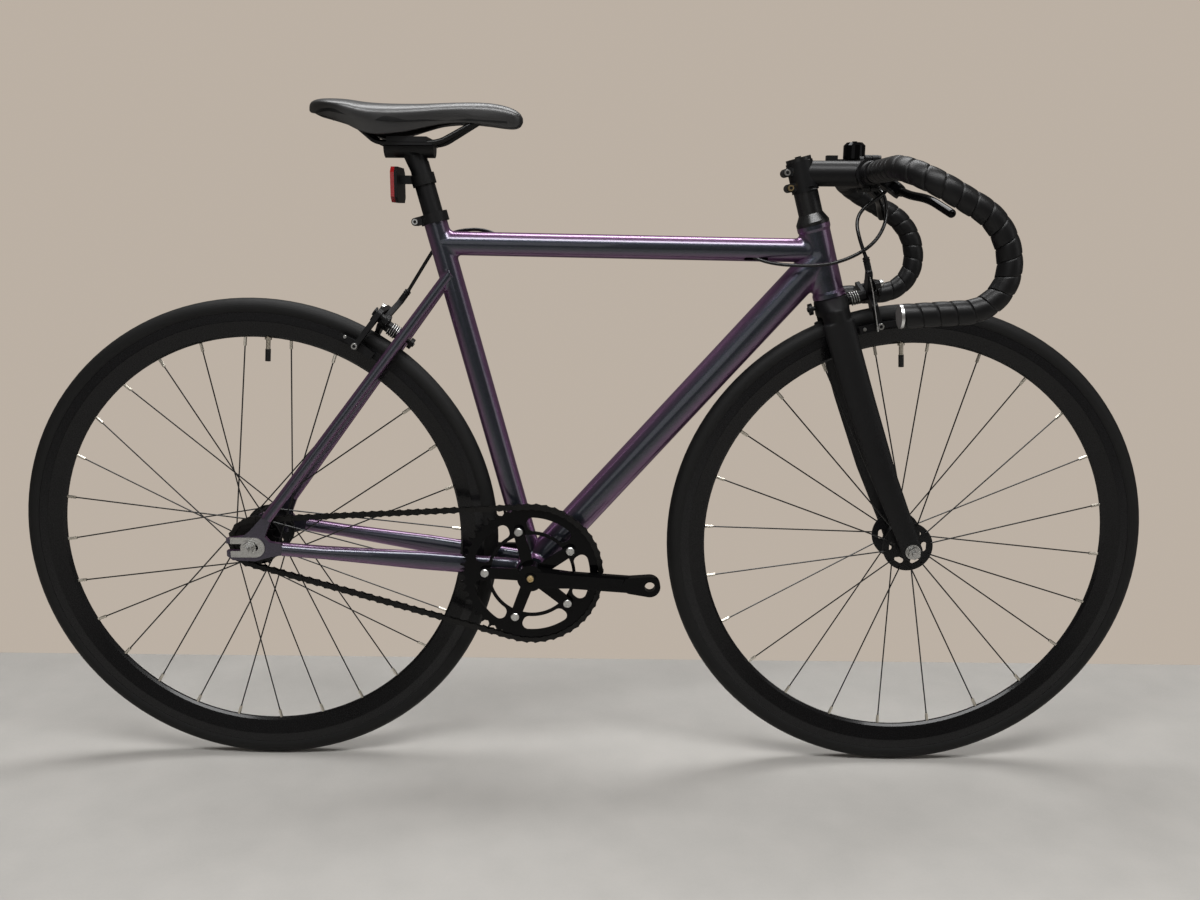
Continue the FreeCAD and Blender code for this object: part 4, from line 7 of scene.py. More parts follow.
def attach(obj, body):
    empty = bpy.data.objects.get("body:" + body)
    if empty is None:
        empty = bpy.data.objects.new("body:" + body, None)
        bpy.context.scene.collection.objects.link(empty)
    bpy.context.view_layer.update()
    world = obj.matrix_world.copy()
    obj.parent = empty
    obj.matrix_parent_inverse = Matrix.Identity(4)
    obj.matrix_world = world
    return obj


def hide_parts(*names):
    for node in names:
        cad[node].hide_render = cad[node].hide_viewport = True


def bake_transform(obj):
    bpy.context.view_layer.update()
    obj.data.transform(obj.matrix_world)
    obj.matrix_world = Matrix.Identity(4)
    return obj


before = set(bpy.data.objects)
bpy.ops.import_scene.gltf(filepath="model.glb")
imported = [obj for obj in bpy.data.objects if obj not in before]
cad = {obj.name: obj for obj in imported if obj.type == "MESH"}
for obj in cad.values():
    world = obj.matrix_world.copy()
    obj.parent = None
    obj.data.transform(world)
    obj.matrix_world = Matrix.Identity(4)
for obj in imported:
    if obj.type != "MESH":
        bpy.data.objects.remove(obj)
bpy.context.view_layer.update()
print("frame loaded:", len(cad), "nodes")


def clearSelection():
    if bpy.context.mode != "OBJECT":
        bpy.ops.object.mode_set(mode="OBJECT")
    bpy.ops.object.select_all(action="DESELECT")


def makeActive(piece):
    clearSelection()
    piece.select_set(True)
    bpy.context.view_layer.objects.active = piece


# camera where the photographer stood, worked out for a 1200 x 900 frame
cameraSetup = {
    "place": (0.02948, -1.46837, 0.76624),
    "yaw": -0.0038,
    "pitch": 0.2034,
    "roll": 0.0089,
    "focalPixels": 1064.45,
    "widthPixels": 1200,
    "sensor": 36.0,
    "clipStart": 0.02,
}


def addCamera(setup):
    base = Matrix(((1, 0, 0), (0, 0, -1), (0, 1, 0)))
    yaw = Matrix.Rotation(-setup["yaw"], 3, "Y")
    pitch = Matrix.Rotation(setup["pitch"], 3, "X")
    roll = Matrix.Rotation(setup["roll"], 3, "Z")
    rows = roll @ pitch @ yaw @ base
    right, down, ahead = rows[0], rows[1], rows[2]
    turn = Matrix((right, -down, -ahead)).transposed()
    bpy.ops.object.camera_add(location=setup["place"])
    camera = bpy.context.active_object
    camera.name = "photoCamera"
    camera.rotation_euler = turn.to_euler()
    camera.data.sensor_width = setup["sensor"]
    camera.data.lens = setup["sensor"] * setup["focalPixels"] / setup["widthPixels"]
    camera.data.clip_start = setup["clipStart"]
    bpy.context.scene.camera = camera


addCamera(cameraSetup)


# studio: pale floor, soft lamps overhead, pale world
studio = {
    "floorWide": 9.0,
    "floorNear": -4.2,
    "floorFar": 0.36,
    "floorLevel": -0.0004,
    "floorBase": {"dark": (0.366, 0.355, 0.336), "light": (0.44, 0.424, 0.400), "rough": (0.50, 0.62),
                  "scale": 260, "relief": 0.03},
    "worldColor": (0.78, 0.71, 0.64, 1),
    "worldStrength": 0.14,
    "wallColor": (0.50, 0.435, 0.37, 1),
    "lamps": [  # name, place, target, width, depth, watts
        ("ceilingNear", (0.3, -1.3, 2.5), (0.0, 0.0, 0.45), 2.6, 0.6, 66),
        ("ceilingFar", (-0.2, 0.6, 2.6), (0.0, 0.0, 0.45), 2.8, 0.6, 58),
        ("roomFront", (-0.9, -2.9, 1.3), (0.0, 0.0, 0.5), 2.0, 1.4, 6),
        ("roomRight", (2.7, -1.2, 1.2), (0.2, 0.0, 0.5), 1.2, 1.6, 6),
    ],
}


def addStudio(setup):
    clearSelection()
    deep = setup["floorFar"] - setup["floorNear"]
    middle = (setup["floorFar"] + setup["floorNear"]) / 2
    bpy.ops.mesh.primitive_plane_add(size=1, location=(0, middle, setup["floorLevel"]))
    floor = bpy.context.active_object
    floor.name = "studioFloor"
    bpy.ops.transform.resize(value=(setup["floorWide"], deep, 1))
    bpy.ops.object.transform_apply(location=True, rotation=True, scale=True)
    for name, place, target, width, depth, watts in setup["lamps"]:
        bpy.ops.object.light_add(type="AREA", location=place)
        lamp = bpy.context.active_object
        lamp.name = name
        lamp.data.shape = "RECTANGLE"
        lamp.data.size = width
        lamp.data.size_y = depth
        lamp.data.energy = watts
        lamp.rotation_euler = (Vector(target) - Vector(place)).to_track_quat("-Z", "Y").to_euler()
    world = bpy.data.worlds.new("studioWorld")
    world.use_nodes = True
    nodes, links = world.node_tree.nodes, world.node_tree.links
    back, out = nodes["Background"], nodes["World Output"]
    back.inputs["Color"].default_value = setup["worldColor"]
    back.inputs["Strength"].default_value = setup["worldStrength"]
    shown = nodes.new("ShaderNodeBackground")  # plain backdrop that only the camera sees
    shown.inputs["Color"].default_value = setup["wallColor"]
    shown.inputs["Strength"].default_value = 1.0
    rays = nodes.new("ShaderNodeLightPath")
    pick = nodes.new("ShaderNodeMixShader")
    links.new(rays.outputs["Is Camera Ray"], pick.inputs[0])
    links.new(back.outputs[0], pick.inputs[1])
    links.new(shown.outputs[0], pick.inputs[2])
    links.new(pick.outputs[0], out.inputs["Surface"])
    bpy.context.scene.world = world
    bpy.context.scene.view_settings.view_transform = "Standard"
    return floor


floor = addStudio(studio)
print("camera and studio ready")


# shader groups that several finishes share
grainLook = {
    "broadScale": 14,
    "broadDetail": 4,
    "fineDetail": 3,
    "fineLow": 0.3,
    "fineHigh": 0.7,
    "depth": 0.0004,
}
wheelCentre = (0.4565, 0, 0.336)


def newGroup(name, inputs, outputs):
    group = bpy.data.node_groups.new(name, "ShaderNodeTree")
    for label, kind in inputs.items():
        group.interface.new_socket(label, in_out="INPUT", socket_type=kind)
    for label in outputs:
        group.interface.new_socket(label, in_out="OUTPUT", socket_type="NodeSocketFloat")
    return group, group.nodes.new("NodeGroupInput"), group.nodes.new("NodeGroupOutput")


def groupGrain(look):
    inputs = {"Vector": "NodeSocketVector", "Scale": "NodeSocketFloat"}
    group, entry, leave = newGroup("surfaceGrain", inputs, ("Broad", "Fine", "Height"))
    nodes, links = group.nodes, group.links
    broad = nodes.new("ShaderNodeTexNoise")
    broad.inputs["Scale"].default_value = look["broadScale"]
    broad.inputs["Detail"].default_value = look["broadDetail"]
    fine = nodes.new("ShaderNodeTexNoise")
    fine.inputs["Detail"].default_value = look["fineDetail"]
    pits = nodes.new("ShaderNodeTexVoronoi")
    both = nodes.new("ShaderNodeMath")
    both.operation = "ADD"
    for node in (broad, fine, pits):
        links.new(entry.outputs["Vector"], node.inputs["Vector"])
    for node in (fine, pits):
        links.new(entry.outputs["Scale"], node.inputs["Scale"])
    links.new(fine.outputs["Fac"], both.inputs[0])
    links.new(pits.outputs["Distance"], both.inputs[1])
    links.new(broad.outputs["Fac"], leave.inputs["Broad"])
    links.new(fine.outputs["Fac"], leave.inputs["Fine"])
    links.new(both.outputs[0], leave.inputs["Height"])
    return group


# distance from the nearer wheel's axle, the wheels stand evenly about the middle
def groupWheelRadius(centre):
    group, entry, leave = newGroup("wheelRadius", {"Vector": "NodeSocketVector"}, ("Radius",))
    links = group.links
    steps = []
    for operation, value in (("ABSOLUTE", None), ("SUBTRACT", centre), ("MULTIPLY", (1, 0, 1)),
                             ("LENGTH", None)):
        node = group.nodes.new("ShaderNodeVectorMath")
        node.operation = operation
        if value:
            node.inputs[1].default_value = value
        steps.append(node)
    links.new(entry.outputs["Vector"], steps[0].inputs[0])
    for before, after in zip(steps, steps[1:]):
        links.new(before.outputs[0], after.inputs[0])
    links.new(steps[-1].outputs["Value"], leave.inputs["Radius"])
    return group


grainGroup = groupGrain(grainLook)
radiusGroup = groupWheelRadius(wheelCentre)


def addGroup(tree, group):
    node = tree.nodes.new("ShaderNodeGroup")
    node.node_tree = group
    return node


def mapRange(tree, source, fromLow, fromHigh, toLow, toHigh):
    node = tree.nodes.new("ShaderNodeMapRange")
    node.inputs["From Min"].default_value = fromLow
    node.inputs["From Max"].default_value = fromHigh
    node.inputs["To Min"].default_value = toLow
    node.inputs["To Max"].default_value = toHigh
    tree.links.new(source, node.inputs["Value"])
    return node.outputs["Result"]


def mixColors(tree, factor, first, second):
    node = tree.nodes.new("ShaderNodeMix")
    node.data_type = "RGBA"
    tree.links.new(factor, node.inputs[0])
    for value, socket in ((first, node.inputs[6]), (second, node.inputs[7])):
        if isinstance(value, tuple):
            socket.default_value = value
        else:
            tree.links.new(value, socket)
    return node.outputs[2]


def mathNode(tree, operation, first, second):
    node = tree.nodes.new("ShaderNodeMath")
    node.operation = operation
    for value, socket in ((first, node.inputs[0]), (second, node.inputs[1])):
        if isinstance(value, (int, float)):
            socket.default_value = value
        else:
            tree.links.new(value, socket)
    return node.outputs[0]


# every finish starts here: two close tones, a roughness range and a fine relief
def startFinish(name, dark, light, rough, scale, relief,
                level=0.5, metallic=0.0, coat=0.0, coatRough=0.1):
    material = bpy.data.materials.new(name)
    material.use_nodes = True
    tree = material.node_tree
    shader = tree.nodes["Principled BSDF"]
    shader.inputs["Metallic"].default_value = metallic
    shader.inputs["Coat Weight"].default_value = coat
    shader.inputs["Coat Roughness"].default_value = coatRough
    shader.inputs["Specular IOR Level"].default_value = level
    where = tree.nodes.new("ShaderNodeTexCoord")
    grain = addGroup(tree, grainGroup)
    grain.inputs["Scale"].default_value = scale
    tree.links.new(where.outputs["Object"], grain.inputs["Vector"])
    color = mixColors(tree, grain.outputs["Broad"], dark + (1,), light + (1,))
    tree.links.new(color, shader.inputs["Base Color"])
    roughness = mapRange(tree, grain.outputs["Fine"], grainLook["fineLow"], grainLook["fineHigh"], *rough)
    tree.links.new(roughness, shader.inputs["Roughness"])
    bump = tree.nodes.new("ShaderNodeBump")
    bump.inputs["Strength"].default_value = relief
    bump.inputs["Distance"].default_value = grainLook["depth"]
    tree.links.new(grain.outputs["Height"], bump.inputs["Height"])
    tree.links.new(bump.outputs["Normal"], shader.inputs["Normal"])
    return {"material": material, "tree": tree, "shader": shader, "where": where, "grain": grain,
            "bump": bump, "color": color}


finishes = {}
# name: dark, light, roughness, grain scale, relief, specular level, then metal, coat, coat roughness
plainFinishes = {
    "satinBlack": ((0.0026, 0.0026, 0.003), (0.0046, 0.0046, 0.005), (0.36, 0.46), 900, 0.08, 0.24),
    "forkBlack": ((0.003, 0.003, 0.0034), (0.005, 0.005, 0.0054), (0.44, 0.54), 1300, 0.06, 0.24),
    "glossBlack": ((0.001, 0.001, 0.0012), (0.002, 0.002, 0.0022), (0.10, 0.16),
                   700, 0.02, 0.06, 0, 0.10, 0.04),
    "moulded": ((0.0025, 0.0025, 0.0025), (0.005, 0.005, 0.005), (0.40, 0.52), 1500, 0.14, 0.2),
    "housingBlack": ((0.002, 0.002, 0.0024), (0.004, 0.004, 0.0044), (0.20, 0.30),
                     1800, 0.04, 0.26, 0, 0.2),
    "headsetBlack": ((0.0024, 0.0024, 0.0027), (0.0042, 0.0042, 0.0045), (0.26, 0.34), 1100, 0.05, 0.5),
    "steel": ((0.42, 0.42, 0.41), (0.62, 0.62, 0.60), (0.24, 0.38), 1600, 0.06, 0.5, 1.0),
    "satinChrome": ((0.62, 0.62, 0.61), (0.74, 0.74, 0.73), (0.30, 0.34), 120, 0.0, 0.5, 1.0),
    "goldBolt": ((0.50, 0.38, 0.20), (0.68, 0.53, 0.30), (0.22, 0.34), 1400, 0.05, 0.5, 1.0),
    "oiledChain": ((0.003, 0.003, 0.003), (0.010, 0.0096, 0.009), (0.26, 0.46), 1100, 0.10, 0.3, 0.4),
    "darkSteel": ((0.004, 0.004, 0.004), (0.008, 0.008, 0.008), (0.26, 0.36), 1200, 0.05, 0.3, 0.4),
    "tyreRubber": ((0.004, 0.004, 0.004), (0.0065, 0.0065, 0.0065), (0.55, 0.68), 1700, 0.16, 0.22),
    "tapeSkin": ((0.0025, 0.0025, 0.0028), (0.0042, 0.0042, 0.0045), (0.36, 0.46), 1900, 0.10, 0.26),
    "saddleSkin": ((0.0035, 0.0035, 0.004), (0.006, 0.006, 0.0065), (0.36, 0.46), 1500, 0.12, 0.85),
}
for name, values in plainFinishes.items():
    finishes[name] = startFinish(name, *values)


# pearl paint: dark teal flakes with a violet sheen at the edges, under clear lacquer
paintLook = {
    "base": {"dark": (0.020, 0.030, 0.036), "light": (0.032, 0.043, 0.050), "rough": (0.26, 0.36),
             "scale": 2600, "relief": 0.04, "metallic": 0.80, "coat": 0.85, "coatRough": 0.05},
    "sheen": (0.165, 0.088, 0.168, 1),
    "sheenFrom": 0.05,
    "sheenFull": 0.34,
    "facing": 0.5,
    "flake": (0.15, 0.10, 0.19, 1),
    "flakeScale": 2400,
    "flakeFrom": 0.70,
    "flakeMost": 0.45,
    "edgeTint": (0.92, 0.62, 0.95, 1),
}


def framePaint(look):
    made = startFinish("framePaint", **look["base"])
    tree, shader = made["tree"], made["shader"]
    flakes = tree.nodes.new("ShaderNodeTexVoronoi")
    flakes.inputs["Scale"].default_value = look["flakeScale"]
    tree.links.new(made["where"].outputs["Object"], flakes.inputs["Vector"])
    bits = tree.nodes.new("ShaderNodeSeparateColor")
    tree.links.new(flakes.outputs["Color"], bits.inputs["Color"])
    share = mapRange(tree, bits.outputs["Red"], look["flakeFrom"], 1.0, 0.0, look["flakeMost"])
    body = mixColors(tree, share, made["color"], look["flake"])
    edge = tree.nodes.new("ShaderNodeLayerWeight")
    edge.inputs["Blend"].default_value = look["facing"]
    sheen = mapRange(tree, edge.outputs["Facing"], look["sheenFrom"], look["sheenFull"], 0.0, 1.0)
    tree.links.new(mixColors(tree, sheen, body, look["sheen"]), shader.inputs["Base Color"])
    shader.inputs["Specular Tint"].default_value = look["edgeTint"]
    return made


finishes["framePaint"] = framePaint(paintLook)


def axleReach(made):
    radius = addGroup(made["tree"], radiusGroup)
    made["tree"].links.new(made["where"].outputs["Object"], radius.inputs["Vector"])
    return radius.outputs["Radius"]


# fine rings round the axle, in the colour and in the relief
def addRings(made, reach, mask, look):
    tree = made["tree"]
    wave = mathNode(tree, "SINE", mathNode(tree, "MULTIPLY", reach, 2 * math.pi / look["ringPitch"]), 0)
    lines = mathNode(tree, "MULTIPLY", mapRange(tree, wave, look["ringFrom"], 1.0, 0, 1), mask)
    color = mixColors(tree, lines, made["color"], look["ringTone"])
    tree.links.new(color, made["shader"].inputs["Base Color"])
    raised = mathNode(tree, "MULTIPLY", lines, look["ringRelief"])
    height = mathNode(tree, "ADD", made["grain"].outputs["Height"], raised)
    tree.links.new(height, made["bump"].inputs["Height"])


# rim: gloss black body, turned brake track with fine rings
rimLook = {
    "base": {"dark": (0.002, 0.002, 0.0024), "light": (0.004, 0.004, 0.0044), "rough": (0.22, 0.30),
             "scale": 700, "relief": 0.02, "level": 0.2, "coat": 0.14, "coatRough": 0.08},
    "trackIn": 0.3050,
    "trackOut": 0.3162,
    "soft": 0.0006,
    "ringPitch": 0.0011,
    "ringFrom": 0.2,
    "ringTone": (0.014, 0.014, 0.015, 1),
    "ringRelief": 4,
}


def rimFinish(look):
    made = startFinish("rimBlack", **look["base"])
    tree, reach = made["tree"], axleReach(made)
    inner, outer, soft = look["trackIn"], look["trackOut"], look["soft"]
    track = mathNode(tree, "MULTIPLY", mapRange(tree, reach, inner, inner + soft, 0, 1),
                     mapRange(tree, reach, outer, outer + soft, 1, 0))
    addRings(made, reach, track, look)
    return made


finishes["rimBlack"] = rimFinish(rimLook)


# black towards the hub and brass towards the rim, for spokes with nipples and for valves with caps
tippedLook = {
    "base": {"dark": (0.004, 0.004, 0.004), "light": (0.008, 0.008, 0.008), "rough": (0.28, 0.38),
             "scale": 1500, "relief": 0.03, "metallic": 0.2},
    "soft": 0.0004,
    "tips": {  # how far from the axle the brass begins, its colour
        "spokeBlack": (0.2702, (0.62, 0.58, 0.50, 1)),
        "valveBrass": (0.2664, (0.60, 0.55, 0.46, 1)),
    },
}


def brassTipped(name, look):
    border, brass = look["tips"][name]
    made = startFinish(name, **look["base"])
    tree, shader = made["tree"], made["shader"]
    bright = mapRange(tree, axleReach(made), border, border + look["soft"], 0, 1)
    tree.links.new(mixColors(tree, bright, made["color"], brass), shader.inputs["Base Color"])
    metal = mapRange(tree, bright, 0, 1, look["base"]["metallic"], 1.0)
    tree.links.new(metal, shader.inputs["Metallic"])
    return made


for name in tippedLook["tips"]:
    finishes[name] = brassTipped(name, tippedLook)


# tyre: matt tread, side walls with thin moulded rings
tyreLook = {
    "treadFrom": 0.3290,
    "soft": 0.0010,
    "ringPitch": 0.0024,
    "ringFrom": 0.6,
    "ringTone": (0.009, 0.009, 0.009, 1),
    "ringRelief": 2,
}


def tyreFinish(look):
    made = finishes["tyreRubber"]
    reach = axleReach(made)
    side = mapRange(made["tree"], reach, look["treadFrom"], look["treadFrom"] + look["soft"], 1, 0)
    addRings(made, reach, side, look)


tyreFinish(tyreLook)


# reflector: clear red over a field of small prisms
lensLook = {
    "base": {"dark": (0.17, 0.006, 0.007), "light": (0.27, 0.010, 0.011), "rough": (0.14, 0.22),
             "scale": 600, "relief": 0.8, "coat": 0.3, "coatRough": 0.08},
    "prisms": 420,
}


def lensFinish(look):
    made = startFinish("redLens", **look["base"])
    tree = made["tree"]
    prisms = tree.nodes.new("ShaderNodeTexVoronoi")
    prisms.inputs["Scale"].default_value = look["prisms"]
    prisms.inputs["Randomness"].default_value = 0.0
    tree.links.new(made["where"].outputs["Object"], prisms.inputs["Vector"])
    tree.links.new(prisms.outputs["Distance"], made["bump"].inputs["Height"])
    return made


finishes["redLens"] = lensFinish(lensLook)

floor.data.materials.append(startFinish("floorPale", **studio["floorBase"])["material"])

nodeFinish = {
    "framePaint": "head_tube top_tube down_tube seat_tube bb_shell dropouts chainstays seatstays "
                  "brake_bridge",
    "steel": "axle_plates bearing_cups rear_axle front_axle crank_hardware",
    "satinChrome": "bar_plugs",
    "satinBlack": "seat_clamp stem stem_faceplate stem_bolts handlebar lever_brackets seatpost front_hub "
                  "rear_hub bell_base front_brake_base rear_brake_base front_brake_arm_a "
                  "front_brake_arm_b rear_brake_arm_a rear_brake_arm_b",
    "forkBlack": "fork_crown fork_blades",
    "headsetBlack": "headset_stack",
    "glossBlack": "crank_right crank_left chainring lever_right lever_left bell_dome",
    "rimBlack": "front_rim rear_rim",
    "oiledChain": "chain rear_cog",
    "spokeBlack": "front_spokes rear_spokes",
    "darkSteel": "saddle_rails",
    "tyreRubber": "front_tyre rear_tyre",
    "tapeSkin": "bar_tape",
    "housingBlack": "rear_cable rear_cable_loop front_cable",
    "moulded": "bell_tab saddle_shell reflector_bracket",
    "valveBrass": "front_valve rear_valve",
    "saddleSkin": "saddle_cover",
    "redLens": "reflector_lens",
}


def dressNodes(table):
    count = 0
    for finish, names in table.items():
        for name in names.split():
            piece = cad[name]
            material = finishes[finish]["material"]
            if len(piece.material_slots) == 0:
                piece.data.materials.append(material)
            for place in piece.material_slots:
                place.material = material
            count += 1
    print("finishes on", count, "of", len(cad), "nodes")


dressNodes(nodeFinish)


# a piece drawn from its points and faces, its normals turned outwards
def drawPiece(name, places, faces, smooth=0, merge=0.0):
    mesh = bpy.data.meshes.new(name)
    mesh.from_pydata(places, [], faces)
    mesh.update()
    piece = bpy.data.objects.new(name, mesh)
    bpy.context.scene.collection.objects.link(piece)
    makeActive(piece)
    bpy.ops.object.mode_set(mode="EDIT")
    bpy.ops.mesh.select_all(action="SELECT")
    if merge:
        bpy.ops.mesh.remove_doubles(threshold=merge)
        bpy.ops.mesh.delete_loose()
        bpy.ops.mesh.select_all(action="SELECT")
    bpy.ops.mesh.normals_make_consistent(inside=False)
    bpy.ops.object.mode_set(mode="OBJECT")
    if smooth:
        bpy.ops.object.shade_smooth_by_angle(angle=math.radians(smooth))
    return piece


def settle(piece, finish, body):
    piece.data.materials.append(finishes[finish]["material"])
    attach(piece, body)


def curveLine(name, kind, route):
    data = bpy.data.curves.new(name, "CURVE")
    data.dimensions = "3D"
    spline = data.splines.new(kind)
    spline.points.add(len(route) - 1)
    for point, place in zip(spline.points, route):
        point.co = (place[0], place[1], place[2], 1)
    piece = bpy.data.objects.new(name, data)
    bpy.context.scene.collection.objects.link(piece)
    return piece


# the line gets its thickness and becomes a mesh
def thickLine(piece, radius, rounding, finish):
    piece.data.bevel_depth = radius
    piece.data.bevel_resolution = rounding
    piece.data.use_fill_caps = True
    makeActive(piece)
    bpy.ops.object.convert(target="MESH")
    bpy.ops.object.shade_smooth()
    piece = bpy.context.active_object
    piece.data.materials.append(finishes[finish]["material"])
    return piece


def soften(piece, rounds):
    soft = piece.modifiers.new("soften", "SMOOTH")
    soft.factor = 0.5
    soft.iterations = rounds
    bpy.ops.object.modifier_apply(modifier="soften")


# brake housings: each follows its own route from the lever
housingLook = {
    "radius": 0.0024,
    "rounding": 5,
    "steps": 16,
    "front": [(0.40057, -0.03160, 0.82402), (0.40057, -0.02360, 0.82402), (0.39457, -0.01060, 0.81302),
              (0.37553, -0.00800, 0.80181), (0.36253, -0.01400, 0.78381), (0.36553, -0.02600, 0.75781),
              (0.37353, -0.03300, 0.73581)],
    "loop": [(0.40057, 0.03160, 0.82402), (0.40057, 0.01760, 0.82402), (0.40457, 0.0, 0.81002),
             (0.40257, -0.02000, 0.78202), (0.38457, -0.03400, 0.75202), (0.35057, -0.04000, 0.73202),
             (0.31257, -0.03800, 0.72202), (0.24118, -0.01386, 0.72414), (0.22313, -0.00477, 0.73647)],
    "rear": [(-0.11104, 0.00396, 0.75360), (-0.12908, 0.01151, 0.76695), (-0.17731, 0.02550, 0.76495),
             (-0.20131, 0.02950, 0.74895), (-0.21317, 0.03050, 0.73276), (-0.24517, 0.03300, 0.68276)],
}


def housingLine(name, route, look):
    piece = curveLine(name, "NURBS", route)
    spline = piece.data.splines[0]
    spline.order_u = 3  # set after the points, or the runs stay straight
    spline.use_endpoint_u = True
    piece.data.resolution_u = look["steps"]
    bpy.context.view_layer.update()
    return piece


def linePoints(piece):
    mesh = bpy.data.meshes.new_from_object(piece)
    points = [vertex.co.copy() for vertex in mesh.vertices]
    bpy.data.meshes.remove(mesh)
    return points


def addHousing(name, route, look):
    piece = housingLine(name, route, look)
    points = linePoints(piece)
    piece = thickLine(piece, look["radius"], look["rounding"], "housingBlack")
    return piece


frontHousing = addHousing("frontHousing", housingLook["front"], housingLook)
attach(frontHousing, "steering")
rearHousing = addHousing("rearHousing", housingLook["rear"], housingLook)
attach(rearHousing, "frame")
loopHousing = addHousing("loopHousing", housingLook["loop"], housingLook)
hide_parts("rear_cable_loop")
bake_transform(loopHousing)


# turned pieces: a disc drawn up through its radii and heights, then set along its axis
def turnedPiece(name, profile, foot, way, finish, sides=28, smooth=35):
    clearSelection()
    radius, height = profile[0]
    bpy.ops.mesh.primitive_circle_add(vertices=sides, radius=radius, fill_type="NGON", location=(0, 0, 0))
    piece = bpy.context.active_object
    piece.name = name
    bpy.ops.object.mode_set(mode="EDIT")
    bpy.ops.mesh.select_all(action="SELECT")
    bpy.ops.transform.translate(value=(0, 0, height))
    for nextRadius, nextHeight in profile[1:]:
        bpy.ops.mesh.extrude_region_move(TRANSFORM_OT_translate={"value": (0, 0, nextHeight - height)})
        share = nextRadius / radius
        bpy.ops.transform.resize(value=(share, share, 1), center_override=(0, 0, nextHeight))
        radius, height = nextRadius, nextHeight
    bpy.ops.mesh.select_all(action="SELECT")
    bpy.ops.mesh.normals_make_consistent(inside=False)
    bpy.ops.object.mode_set(mode="OBJECT")
    bpy.ops.object.shade_smooth_by_angle(angle=math.radians(smooth))
    turn = Vector(way).to_track_quat("Z", "Y").to_matrix().to_4x4()
    piece.matrix_world = Matrix.Translation(Vector(foot)) @ turn
    makeActive(piece)
    bpy.ops.object.transform_apply(location=True, rotation=True, scale=True)
    piece.data.materials.append(finishes[finish]["material"])
    return piece


# cable ends: rubber boot with folds over the adjuster, then the bare wire to the clamp
cableEnds = {
    "bootProfile": [(0.0026, 0.0), (0.0030, 0.0012), (0.0046, 0.0020), (0.0048, 0.0034), (0.0038, 0.0042),
                    (0.0048, 0.0052), (0.0048, 0.0066), (0.0040, 0.0074), (0.0044, 0.0084),
                    (0.0044, 0.0090)],
    "wireRadius": 0.0007,
    "wireSides": 12,
    "front": [(0.37353, -0.03300, 0.73581), (0.37595, -0.03300, 0.72715), (0.38533, -0.03300, 0.69353)],
    "rear": [(-0.24517, 0.03300, 0.68276), (-0.25058, 0.03300, 0.67557), (-0.27156, 0.03300, 0.64768)],
}


def addCableEnd(name, places, look, body, node):
    above, top, low = (Vector(place) for place in places)
    boot = turnedPiece(name + "Boot", look["bootProfile"], above, top - above, "moulded")
    wireProfile = [(look["wireRadius"], 0.0), (look["wireRadius"], (low - top).length)]
    wire = turnedPiece(name + "Wire", wireProfile, top, low - top, "steel", look["wireSides"])
    for piece, slotName in ((boot, "black_plastic"), (wire, "bare_steel")):
        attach(piece, body)
    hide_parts(node)


addCableEnd("frontCable", cableEnds["front"], cableEnds, "steering", "front_cable")
addCableEnd("rearCable", cableEnds["rear"], cableEnds, "frame", "rear_cable")
print("housings done")


# frame points that the welds and fasteners are set out from
bb = Vector((-0.07048, 0.0, 0.29400))  # middle of the bottom bracket
seatTop = Vector((-0.20369, 0.0, 0.78599))
seatUp = Vector((-0.26135, 0.0, 0.96524))
headTop = Vector((0.30857, 0.0, 0.77582))
stemTop = Vector((0.28561, 0.0, 0.85808))
steerUp = Vector((-0.26892, 0.0, 0.96316))
steerAhead = Vector((0.96316, 0.0, 0.26892))
stayFoot = Vector((-0.43126, -0.0635, 0.37583))
stayEnd = Vector((-0.41150, -0.0635, 0.33274))
stayUp = Vector((0.60115, 0.0, 0.79914))
stayBack = Vector((-0.79914, 0.0, 0.60115))
leftward = Vector((0.0, 1.0, 0.0))


def flipSide(place):
    return Vector((place.x, -place.y, place.z))


# smooth welds: where one tube meets another, a hollow fillet runs all round it
topSeat, topHead = seatTop - seatUp * 0.0397, headTop - steerUp * 0.0354
downHead = headTop - steerUp * 0.0450
stayTop = seatTop - seatUp * 0.0820 - leftward * 0.0105
stayRoot = bb - leftward * 0.0200
weldLook = {
    "sides": 72,
    "steps": 7,
    "flare": 0.5,
    "sink": 0.3,
    "smooth": 50,
    "hosts": {  # two points of the axis, radius
        "head": (headTop, headTop - steerUp * 0.0995, 0.0208),
        "seat": (bb, seatTop, 0.0159),
        "shell": (bb, bb + leftward * 0.034, 0.0210),
    },
    "joints": [  # host, near end and far end of the branch, half width, half height, fillet
        ("head", topHead, topSeat, 0.0159, 0.0159, 0.0080),
        ("head", downHead, bb, 0.0218, 0.0218, 0.0090),
        ("seat", topSeat, topHead, 0.0158, 0.0158, 0.0070),
        ("shell", bb, downHead, 0.0209, 0.0218, 0.0070),
        ("shell", bb, seatTop, 0.0159, 0.0159, 0.0060),
        ("seat", stayTop, stayFoot, 0.0072, 0.0072, 0.0050),
        ("seat", flipSide(stayTop), flipSide(stayFoot), 0.0072, 0.0072, 0.0050),
        ("shell", stayRoot, stayEnd, 0.0078, 0.0134, 0.0050),
        ("shell", flipSide(stayRoot), flipSide(stayEnd), 0.0078, 0.0134, 0.0050),
    ],
}


